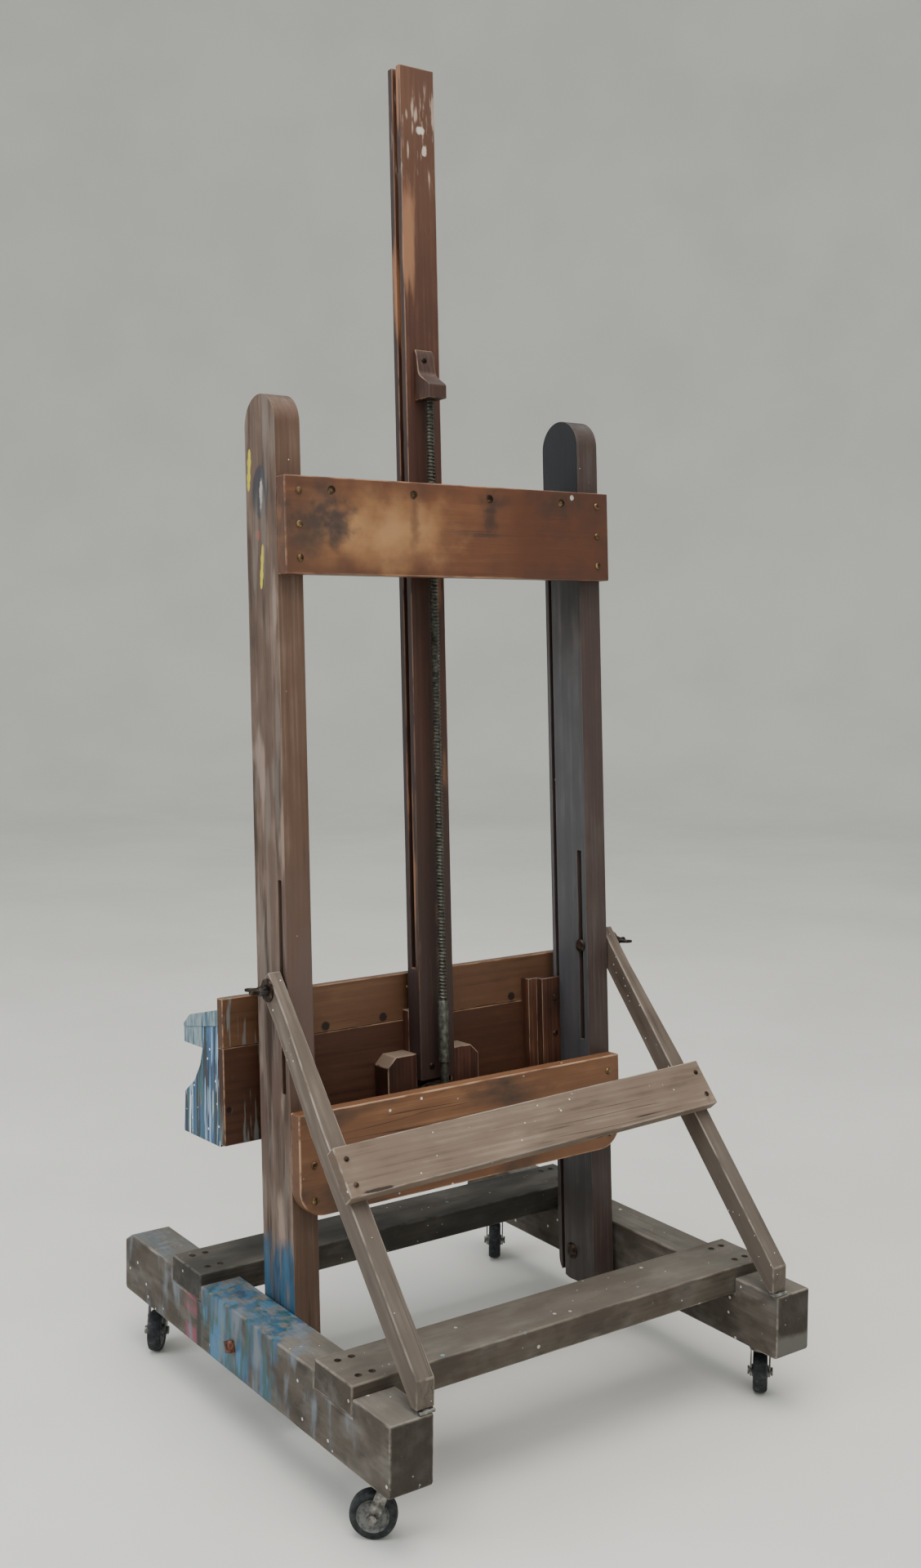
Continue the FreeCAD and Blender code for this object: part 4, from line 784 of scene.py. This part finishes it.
def thread_tree():
    """A ridge that winds up a rod."""
    tree, given = begun("screw_thread", ("Length", "Float"), ("Pitch", "Float"),
                        ("Root Radius", "Float"), ("Ridge", "Float"), ("Finish", "Material"))
    turns = add(tree, "ShaderNodeMath", {0: given["Length"], 1: given["Pitch"]}, operation="DIVIDE")
    helix = add(tree, "GeometryNodeCurveSpiral", {
        "Resolution": 20, "Rotations": turns.outputs[0], "Height": given["Length"],
        "Start Radius": given["Root Radius"], "End Radius": given["Root Radius"]})
    level = add(tree, "GeometryNodeSetCurveNormal", {"Curve": helix.outputs[0]}, mode="Z_UP")
    ridge = add(tree, "GeometryNodeCurvePrimitiveCircle", {
        "Resolution": 4, "Radius": given["Ridge"]})
    wound = add(tree, "GeometryNodeCurveToMesh", {
        "Curve": level.outputs[0], "Profile Curve": ridge.outputs[0], "Fill Caps": True})
    return ended(tree, wound.outputs[0], given["Finish"])


screw_low, screw_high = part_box("lead_screw")
foot_h, head_h = [from_pivot((screw_low.y + screw_high.y) / 2, z)[1]
                  for z in (screw_low.z, screw_high.z)]
# Millimetres from the pivot: the screw's axis behind it, and above it the lower ends of the
# thread and of the sleeve under the thread. The ridge stands 1.9 mm to each side of its wire.
SCREW_V, THREAD_LOW, SLEEVE_LOW, RIDGE = 11.5, 424, 333, 1.9
bm = bmesh.new()
bm.verts.new((0, 0, 0))
# The real pitch is 4.4 mm; it is drawn at 5 mm, so that the turns still show from afar.
wound = grown("wound", bm, thread_tree(), Length=(head_h - 8 - THREAD_LOW) * MM, Pitch=5 * MM,
              **{"Root Radius": 4.5 * MM, "Ridge": RIDGE * MM, "Finish": oiled})
wound.data.transform(Matrix.Translation((0, 0, THREAD_LOW * MM)))
rod = lathe("rod", [(0, foot_h), (5.4, foot_h), (6, foot_h + 0.6), (6, SLEEVE_LOW),
                    (7.2, SLEEVE_LOW), (8, SLEEVE_LOW + 0.8), (8, THREAD_LOW - 2),
                    (6.6, THREAD_LOW), (4.4, THREAD_LOW), (4.4, head_h - 1), (0, head_h - 1)], 28)
screw = joined("threaded_lead_screw", wound, rod)
screw.data.transform(TILT @ Matrix.Translation((0, SCREW_V * MM, 0)))
place(screw, oiled, "lift_screw", "dark_steel", "lead_screw")


def toothed(name, teeth, low_r, high_r, height, depth, bore):
    """A bevel wheel about Z with straight teeth, its bore left open."""
    bm = bmesh.new()
    count = teeth * 4

    def corner(radius, part, z):
        angle = math.tau * part / count
        return bm.verts.new(Vector((radius * math.cos(angle), radius * math.sin(angle), z)) * MM)

    rings = [[corner(radius * (1 - depth / low_r * (i % 4 > 1)), i + (0.25 if i % 2 else -0.1), z)
              for i in range(count)] for radius, z in ((low_r, 0), (high_r, height))]
    holes = [[corner(bore, i, z) for i in range(count)] for z in (0, height)]
    for i in range(count):
        j = (i + 1) % count
        bm.faces.new((rings[0][i], rings[0][j], rings[1][j], rings[1][i]))
        bm.faces.new((holes[0][j], holes[0][i], holes[1][i], holes[1][j]))
        bm.faces.new((rings[1][i], rings[1][j], holes[1][j], holes[1][i]))
        bm.faces.new((rings[0][j], rings[0][i], holes[0][i], holes[0][j]))
    bmesh.ops.recalc_face_normals(bm, faces=bm.faces)
    return new_piece(name, bm)


low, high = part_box("screw_bevel_gear")
gear_low = from_pivot((low.y + high.y) / 2, low.z)[1] + 1.5
gear = joined("gear", toothed("teeth", 26, 27.6, 21, 10, 3.4, 6.1),
              lathe("boss", [(6.1, 9), (11, 9), (11, 17), (10, 18), (6.1, 18)], 28, closed=True))
gear.name = "toothed_bevel_gear"
gear.data.transform(TILT @ Matrix.Translation((0, SCREW_V * MM, gear_low * MM)))
place(gear, oiled, "lift_screw", "dark_steel", "screw_bevel_gear")
worn_board("screw_yoke", steel, "dark_steel", 0.8)


# ---------------------------------------------------------------- apron, foot blocks and battens
# The mast's foot is blocked out between two short cleats and a packer. They carry the apron, two
# wide boards edge to edge, and two battens whose tongues run in the grooves of the posts.

spatter_slot = "paint_spattered_wood"
APRON_FACE = -51.5  # millimetres behind the pivot: the rear face of the apron


def stained(name, dark, mid, light, seed, drips=True):
    """Brown-stained pine of the tray, with thin paint drips near its painted end."""
    f = timber(name, dark, mid, light, ALONG_X, seed, ring_mm=13, contrast=0.6, checks=0.3,
               rough=0.5, worn="#8d7058")
    if drips:
        runs = f.patches(9, 0.56, 0.64, (1, 1, 14), 3, at=f.place, offset=seed)
        f.coat(f.both(runs, f.between(0, 0.24, 0.5, 60), 0.6), "#70797a", 0.5, 0.5)
        f.coat(f.speckle(24, 4, 0.2, offset=seed), "#c9c7c0", 0.5, 0.4)
    return f


# Wide brown-stained boards, satin, the lower one darker where brushes drip on it.
f = stained("stained_apron_upper", "#3a271b", "#593e2b", "#76583e", 2.1)
f.coat(f.both(f.patches(130, 0.45, 0.65, (1, 1, 2), 3, offset=7), 0.5), "#533625")
apron_screws = [(162.5, 398), (64.3, 398), (-172.5, 398)]
# Painted shade: a dark ring round each sunk screw head stands for the shade in its counterbore.
for x, h in apron_screws:
    f.coat(f.spot(spot_at(x, APRON_FACE, h), (15, 12, 15), 0.1, 0.4, 6), "#20140e", 0.6)
worn_board("apron_board_upper", f.done(0.3, 0.55), spatter_slot, 1.4)
f = stained("stained_apron_lower", "#27160e", "#42281a", "#5a3a28", 4.4)
# Painted shade: a near-black dot stands for the shade inside an empty screw hole.
f.coat(f.spot(spot_at(320, APRON_FACE, 304), (9, 12, 9), 0.1, 0.3, 6), "#100b08", 0.6)
worn_board("apron_board_lower", f.done(0.3, 0.55), spatter_slot, 1.4)
APRON_SEAT, MAST_SEAT = -51.9, -4.9  # millimetres behind the pivot: the rims of sunk heads
recessed = [spot_at(x, APRON_SEAT, h) for x, h in apron_screws]
recessed += [spot_at(x, MAST_SEAT, h) for x, h in ((20, 444), (19, 410), (21, 366))]
recessed_heads = repeated("apron_and_mast_screws", recessed, flat_head, BACK, steel, seed=8)
place(recessed_heads, steel, "mast_and_tray", "dark_steel")
raised = repeated("block_screws", [spot_at(3, 2.6, 1357), spot_at(11, -4.6, 326)], round_head,
                  BACK, steel, seed=3)
place(raised, steel, "mast_and_tray", "dark_steel")

# Offcuts of dark stained pine, their top ends bare, dusty and matt.
f = timber("stained_foot_blocks", "#20130e", "#3a221a", "#533428", UPRIGHT, 3.1, ring_mm=6,
           rough=0.5, worn="#907765")
f.coat(f.both(f.facing((0, 0, 1), 0.4, 0.8), 0.8), "#7f7061", 0.7)
block_material = f.done(0.3, 0.55)
worn_board("mast_foot_blocks", block_material, mast_slot, 1.6)
worn_board("mast_packer", block_material, mast_slot, 1.0)
# Narrow stained hardwood, smooth from sliding.
f = timber("stained_battens", "#291710", "#472b1f", "#61402e", UPRIGHT, 8.1, ring_mm=6, rough=0.48)
worn_board("guide_battens", f.done(0.3, 0.55), mast_slot, 0.6)
heads = [Vector(((low.x + high.x) / 2, low.y, (low.z + high.z) / 2))
         for low, high in solids("batten_screws")]
place(repeated("batten_screw_heads", heads, round_head, BACK, steel, seed=6), steel,
      "mast_and_tray", "dark_steel", "batten_screws")


# ---------------------------------------------------------------- ledge, strip and brush tray
# A sloping ledge with a rounded lip holds the canvas, and hangs over a shallow brush tray between
# two shaped cheeks. This end of the easel is thick with runs of blue, teal and white paint.

# Pine worn bare by canvases, under a thick glossy skin of mixed paint at its wet end.
f = stained("painted_ledge", "#43342b", "#645143", "#857361", 1.7, drips=False)
end = f.between(0, 0.318, 0.4, 4)
wet = f.colour_by(f.cloud(11, (1, 1, 5), 4, at=f.place, offset=2), (0.34, "#2e4f64"),
                  (0.44, "#566f79"), (0.54, "#7f8f93"), (0.66, "#3a5964"))
f.coat(end, wet, 0.42, 0.5)
f.coat(f.speckle(14, 5, 0.4, offset=2.9), "#b8bfbd", 0.5, 0.5)
f.coat(f.speckle(19, 7, 0.3, offset=6.1), "#55798c", 0.5, 0.5)
ledge_material = f.done(0.45, 0.6)
worn_board("canvas_ledge", ledge_material, spatter_slot, 1.6)
worn_board("ledge_strip", ledge_material, spatter_slot, 1.2)

for side in ("right", "left"):
    # Stained pine under runs of oil paint that have dried in glossy ridges.
    f = timber(f"painted_cheek_{side}", "#44372e", "#604d3f", "#7f6a56", UPRIGHT, 2.2, ring_mm=7)
    if side == "right":
        f.coat(f.patches(28, 0.30, 0.42, (1, 1, 4), 4, f.place, 3), "#284d75", 0.45, 0.5)
        runs = f.cloud(5, (1, 1, 24), 3, at=f.place, offset=5)
        f.coat(f.mask_of(runs, 0.55, 0.59), "#819eb4", 0.42, 0.7)
        f.coat(f.mask_of(runs, 0.45, 0.42), "#205156", 0.42, 0.6)
        f.coat(f.patches(6, 0.54, 0.57, (1, 1, 18), 3, at=f.place, offset=11), "#141f29", 0.42, 0.7)
        f.coat(f.patches(5, 0.62, 0.66, (1, 1, 20), 3, at=f.place, offset=19), "#c9cecf", 0.42, 0.8)
    f.coat(f.speckle(13, 4, 0.3, offset=8.8), "#d5d8d4", 0.5, 0.5)
    worn_board(f"tray_cheek_{side}", f.done(0.5, 0.7), spatter_slot, 1.4)
# The tray's inside: brown stain, dull and dotted with grey-blue paint.
f = stained("tray_boards", "#443022", "#624b3a", "#7f6750", 6.6)
f.coat(f.speckle(16, 6, 0.4, offset=4.4), "#6c8795", 0.5, 0.5)
tray_material = f.done(0.4, 0.6)
worn_board("tray_bottom", tray_material, spatter_slot, 1.0)
worn_board("tray_front_board", tray_material, spatter_slot, 1.6)


# ---------------------------------------------------------------- crank
# A steel shaft under the mast's foot carries a bevel pinion at the screw and, in front of the
# tray, a flat crank arm with a turned beech handle.

low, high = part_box("crank_shaft")
CRANK_H = from_pivot(*((low + high) / 2).yz)[1]
SHAFT_RADIUS, GRIP_RADIUS = 6, 12
shaft_back = from_pivot(high.y, high.z - SHAFT_RADIUS * MM)[0]
shaft_front = from_pivot(low.y, low.z + SHAFT_RADIUS * MM)[0]
ALONG_V = Matrix.Rotation(-math.pi / 2, 4, "X")


def on_crank(obj, v, drop=0):
    """Stands a turned shape on the crank's axis, or below it, with its Z pointing back."""
    obj.data.transform(TILT @ Matrix.Translation(Vector((0, v, CRANK_H - drop)) * MM) @ ALONG_V)
    return obj


reach = shaft_back - shaft_front
shaft = lathe("crank_shaft_turned", [(0, 0), (4.6, 0), (6, 1.2), (6, reach - 1), (5, reach),
                                     (0, reach)], 28)
finish_mesh(shaft)
place(on_crank(shaft, shaft_front), steel, "crank", "dark_steel", "crank_shaft")
low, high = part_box("crank_pinion")
pinion_front = from_pivot(low.y, (low.z + high.z) / 2)[0] + 0.8
pinion = toothed("toothed_pinion", 12, 13.4, 9.6, 12, 2.4, 6.1)
finish_mesh(pinion)
place(on_crank(pinion, pinion_front), oiled, "crank", "dark_steel", "crank_pinion")
worn_board("crank_arm", steel, "dark_steel", 1.2)
low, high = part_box("crank_handle")
ARM = 90  # millimetres from the shaft to the handle
grip_front = from_pivot(low.y, low.z + GRIP_RADIUS * MM)[0] + 0.4
profile = [(0, 0), (5, 0.4), (8.6, 2.4), (10.4, 6), (11, 11), (10.6, 18), (11.6, 27), (12, 36),
           (11.5, 45), (9.8, 54), (7.8, 60), (7.2, 64), (8.4, 66), (8.4, 70.5), (0, 70.8)]
grip = lathe("turned_crank_handle", profile, 36)
subdivide = grip.modifiers.new("smooth", "SUBSURF")
subdivide.levels = subdivide.render_levels = 1
# Waxed beech, turned smooth, with fine short grain.
f = timber("turned_beech", "#513723", "#6f5238", "#8a6c4e", ALONG_Y, 1.4, ring_mm=5, checks=0,
           rough=0.42, worn="#ad8b65")
finish_mesh(grip)
place(on_crank(grip, grip_front, ARM), f.done(0.2, 0.4), "crank", "turned_handle_wood",
      "crank_handle")


# ---------------------------------------------------------------- braces, tie board and hinges
# Two raw pine props run from hinges on the rear rail ends up to the lock bolts, with a paler
# board nailed across them. They were never stained, and are dry, grey and spattered with white.

hinge = joint["brace_fold"]["pos_m"]
bolt = (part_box("lock_bolts")[0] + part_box("lock_bolts")[1]) / 2
BRACE_LEAN = math.atan2(hinge[1] - bolt.y, bolt.z - hinge[2])
PROP = (-BRACE_LEAN, 0, 0)
brace_slot = "pale_brace_wood"


def raw_pine(name, turn, seed, dark="#383029", mid="#584d44", light="#73685e"):
    """Unfinished pine, dry and greyed, with thin pale splashes."""
    f = timber(name, dark, mid, light, turn, seed, ring_mm=9, contrast=0.8, checks=0.35,
               rough=0.72, worn="#8d8277")
    f.coat(f.both(f.patches(70, 0.52, 0.68, (1, 1, 3), 4, offset=4), 0.5), "#4f453c", 0.75)
    f.coat(f.speckle(20, 5, 0.30, offset=seed), "#c9c5bd", 0.55, 0.5)
    f.coat(f.speckle(8, 2, 0.2, offset=seed + 3), "#e3e0da", 0.55, 0.3)
    f.coat(f.speckle(50, 6, 0.2, offset=seed + 5), "#5d5a58", 0.6, 0.3)
    return f


for side, seed in (("right", 0.9), ("left", 2.4)):
    f = raw_pine(f"raw_brace_{side}", PROP, seed)
    f.coat(f.both(f.between(2, 0.1, 0.36, 90), 0.35), "#4e4b45", 0.75)
    worn_board(f"brace_{side}", f.done(0.4, 0.6), brace_slot, 1.8)
# The tie board is a later, paler piece of the same raw pine, stained round its nails.
f = raw_pine("raw_tie_board", (PROP[0], math.pi / 2, 0), 4.1, "#4c4036", "#6a5b4e", "#827366")
nail_spots = [(low + high) / 2 for low, high in solids("brace_nails")]
lowest = min((s for s in nail_spots if s.x > 0), key=lambda s: s.z)
f.coat(f.spot(lowest + Vector((-0.028, 0.006, -0.004)), (56, 40, 4), 0.4, 0.3, 9), "#342b25",
       0.9, -1.5)
for nail in nail_spots:
    f.coat(f.spot(nail, (13, 40, 16), 0.4, 0.9, 7), "#655647", 0.7)
worn_board("brace_crossboard", f.done(0.4, 0.6), brace_slot, 1.8)
nail_head = lathe("nail_head", [(0, -2), (1.6, -2), (1.6, 0), (3.4, 0.2), (3.6, 0.8), (3.0, 1.2),
                                (0, 1.35)], 16)
back = Vector((0, math.cos(BRACE_LEAN), math.sin(BRACE_LEAN)))
tips = []
for low, high in solids("brace_nails"):
    middle = (low + high) / 2
    ends = [v.co for v in frame["nodes"]["brace_nails"].data.vertices
            if (v.co - middle).length < 0.02]
    tips.append(middle + back * (max((end - middle).dot(back) for end in ends) - 1.1 * MM))
place(repeated("nail_heads", tips, nail_head, (BRACE_LEAN - math.pi / 2, 0, 0), steel), steel,
      "braces", "dark_steel", "brace_nails")
# Zinc-plated pressed steel, chalky grey with hardly any shine left.
zinc = rusty("dull_zinc", "#4d4c49", "#73726e", "#96958f", 0.5, 0.8)
for node in ("foot_hinge_lower", "foot_hinge_upper"):
    worn_board(node, zinc, "zinc_steel", 0.3)


# ---------------------------------------------------------------- lock bolts and wing nuts
# A coach bolt passes through each post's slot and its brace. A broad washer and a malleable iron
# wing nut outside clamp the three together, and the nut is slackened to tilt the easel.

place(coach_bolts("lock_coach_bolts", "lock_bolts", bolt, 4, 10, rise=5.5), steel, "lock_bolts",
      "dark_steel", "lock_bolts")
place(washers("lock_broad_washers", "lock_washers", bolt, 4.3, 16, bevel=0.5, steps=36), steel,
      "lock_bolts", "dark_steel", "lock_washers")


def wing_nut(name):
    """A cast wing nut on X: a tapered hub with two rounded, upswept wings."""
    hub = lathe("hub", [(4.2, 0), (7.2, 0), (7.5, 0.6), (6.8, 8), (6.2, 12.4), (5.6, 13),
                        (4.2, 13)], 28, closed=True)
    hub.data.transform(Matrix.Rotation(math.pi / 2, 4, "Y"))
    shapes = [hub]
    for way in (1, -1):
        outline = [(1.6, 5), (2.6, 12), (6, 18), (12, 23.4), (17, 24.9), (20.6, 23.4), (21.6, 20),
                   (20, 16.4), (16.4, 12), (12.6, 5)]
        bm = bmesh.new()
        rows = [[bm.verts.new(Vector((x, way * y, z)) * MM) for x, y in outline]
                for z in (-2.1, 2.1)]
        bm.faces.new(rows[0])
        bm.faces.new(rows[1][::-1])
        for i in range(len(outline)):
            j = (i + 1) % len(outline)
            bm.faces.new((rows[0][j], rows[0][i], rows[1][i], rows[1][j]))
        bmesh.ops.recalc_face_normals(bm, faces=bm.faces)
        bmesh.ops.bevel(bm, geom=bm.edges[:], offset=1.3 * MM, segments=3, profile=0.5,
                        affect="EDGES", clamp_overlap=True)
        shapes.append(new_piece("wing", bm))
    return joined(name, *shapes)


# Cast iron with its black skin, rough and only faintly metallic.
cast = rusty("malleable_iron", "#1a1817", "#302c2a", "#4c4742", 0.55, 0.7)
for side, sign in (("right", 1), ("left", -1)):
    low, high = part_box(f"wing_nut_{side}")
    piece = wing_nut(f"cast_wing_nut_{side}")
    turn = Matrix.Identity(4) if sign > 0 else Matrix.Rotation(math.pi, 4, "Z")
    start = low.x if sign > 0 else high.x
    piece.data.transform(Matrix.Translation((start, bolt.y, bolt.z))
                         @ Matrix.Rotation(LEAN, 4, "X") @ turn)
    place(piece, cast, f"wing_nut_{side}", "dark_steel", f"wing_nut_{side}")


# ---------------------------------------------------------------- casters
# Four small plate casters with pressed zinc forks and hard black rubber tyres on grey hubs. They
# stand as they were last rolled, each turned its own way.

# Moulded rubber: dusty, a shade lighter where it has rolled over paint and grit.
f = Finish("black_rubber_tyre")
f.colour = f.colour_by(f.cloud(9, detail=5), (0.35, "#17191b"), (0.55, "#26292b"), (0.7, "#3c4042"))
f.rough = f.weighted(0.2, (f.cloud(5, detail=3), 1.0))
f.relief = f.cloud(1.5, detail=4)
tyre_material = f.done(0.15, 0.5, specular=0.3)
# Moulded nylon, once pale grey, now scuffed and dull.
f = Finish("grey_moulded_hub")
f.colour = f.colour_by(f.cloud(6, detail=4), (0.35, "#4a4b4a"), (0.6, "#6c6d6b"))
f.rough = f.weighted(0.1, (f.cloud(4, detail=3), 1.0))
hub_material = f.done(specular=0.35)
worn_board("caster_plates", zinc, "zinc_steel", 0.5)
for name in ("front_right", "front_left", "rear_right", "rear_left"):
    low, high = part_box(f"caster_wheel_{name}")
    middle = (low + high) / 2
    axle = Vector(joint[f"wheel_{name}_roll"]["axis"]).normalized()
    aim = Matrix.Translation(middle) @ axle.to_track_quat("Z", "Y").to_matrix().to_4x4()
    tyre = lathe(f"tyre_{name}", [(20, -8.4), (22.5, -9.7), (25, -10), (27.6, -8.8), (29, -6.2),
                                  (29.5, -2.6), (29.5, 2.6), (29, 6.2), (27.6, 8.8), (25, 10),
                                  (22.5, 9.7), (20, 8.4)], 48, closed=True)
    hub = lathe(f"hub_{name}", [(3.3, -11.8), (8, -11.8), (8.5, -11.2), (8.8, -7), (11, -6),
                                (17, -6), (20.2, -8.6), (20.2, 8.6), (17, 6), (11, 6), (8.8, 7),
                                (8.5, 11.2), (8, 11.8), (3.3, 11.8)], 40, closed=True)
    for shape in (tyre, hub):
        shape.data.transform(aim)
        finish_mesh(shape)
    place(tyre, tyre_material, f"wheel_{name}", "black_tyre", f"caster_wheel_{name}")
    place(hub, hub_material, f"wheel_{name}", "black_tyre", f"caster_wheel_{name}")
    worn_board(f"caster_fork_{name}", zinc, "zinc_steel", 0.4)
    worn_board(f"caster_axle_{name}", zinc, "zinc_steel", 0.6)

for shape in (flat_head, round_head, nail_head):
    bpy.data.objects.remove(shape)


# ---------------------------------------------------------------- floor, light and camera
# A plain pale studio floor that curves up into a plain wall all round, one large soft light
# overhead, one from the painted side, a weak one by the camera, and a pale sky.

FLAT, BEND, WALL = 6500, 2600, 7000  # radius of the flat, radius of the bend, height of the wall
sweep = [(FLAT + BEND * math.sin(a), BEND - BEND * math.cos(a))
         for a in [math.pi / 2 * i / 16 for i in range(17)]]
floor = lathe("studio_floor", [(0, 0)] + sweep + [(FLAT + BEND, WALL)], 96)
if floor.data.polygons[0].normal.z < 0:
    floor.data.flip_normals()
finish_mesh(floor)
# Matt painted concrete, pale grey, with the faintest cloudiness.
f = Finish("pale_painted_floor")
f.colour = f.colour_by(f.cloud(700, detail=3), (0.3, "#cfcfca"), (0.7, "#d6d6d1"))
f.rough = f.weighted(0.25, (f.cloud(90, detail=2), 1.0))
floor.data.materials.append(f.done(specular=0.2))


def softbox(name, spot, aim, size, watts, tint="#ffffff"):
    """A square area light at a spot, pointing at another."""
    light = bpy.data.lights.new(name, "AREA")
    light.shape, light.size, light.energy = "SQUARE", size, watts
    light.color = linear(tint)[:3]
    lamp = bpy.data.objects.new(name, light)
    lamp.location = spot
    lamp.rotation_euler = (Vector(aim) - Vector(spot)).to_track_quat("-Z", "Y").to_euler()
    bpy.context.scene.collection.objects.link(lamp)


softbox("overhead", (0.5, 0.9, 4.2), (0, 0, 0.6), 3.4, 185, "#fffaf2")
softbox("painted_side", (3.6, -0.6, 2.3), (0, 0, 0.8), 2.2, 84, "#f4f7ff")
softbox("camera_fill", (0.6, 3.8, 2.0), (0, 0, 0.9), 2.6, 34)
world = bpy.data.worlds.new("pale_room")
world.use_nodes = True
world.node_tree.nodes["Background"].inputs["Color"].default_value = linear("#e9ebec")
world.node_tree.nodes["Background"].inputs["Strength"].default_value = 1.0
bpy.context.scene.world = world

camera = bpy.data.cameras.new("camera")
camera.lens, camera.sensor_width = 37.83, 36
camera.shift_x, camera.shift_y = 0.0013, -0.0506
eye = bpy.data.objects.new("camera", camera)
AZIMUTH, PITCH, ROLL = 35.45, 3.28, 0.50
eye.matrix_world = (Matrix.Translation((1.3651, 1.9170, 1.1119))
                    @ Matrix.Rotation(math.radians(180 - AZIMUTH), 4, "Z")
                    @ Matrix.Rotation(math.radians(90 - PITCH), 4, "X")
                    @ Matrix.Rotation(math.radians(ROLL), 4, "Z"))
bpy.context.scene.collection.objects.link(eye)
bpy.context.scene.camera = eye
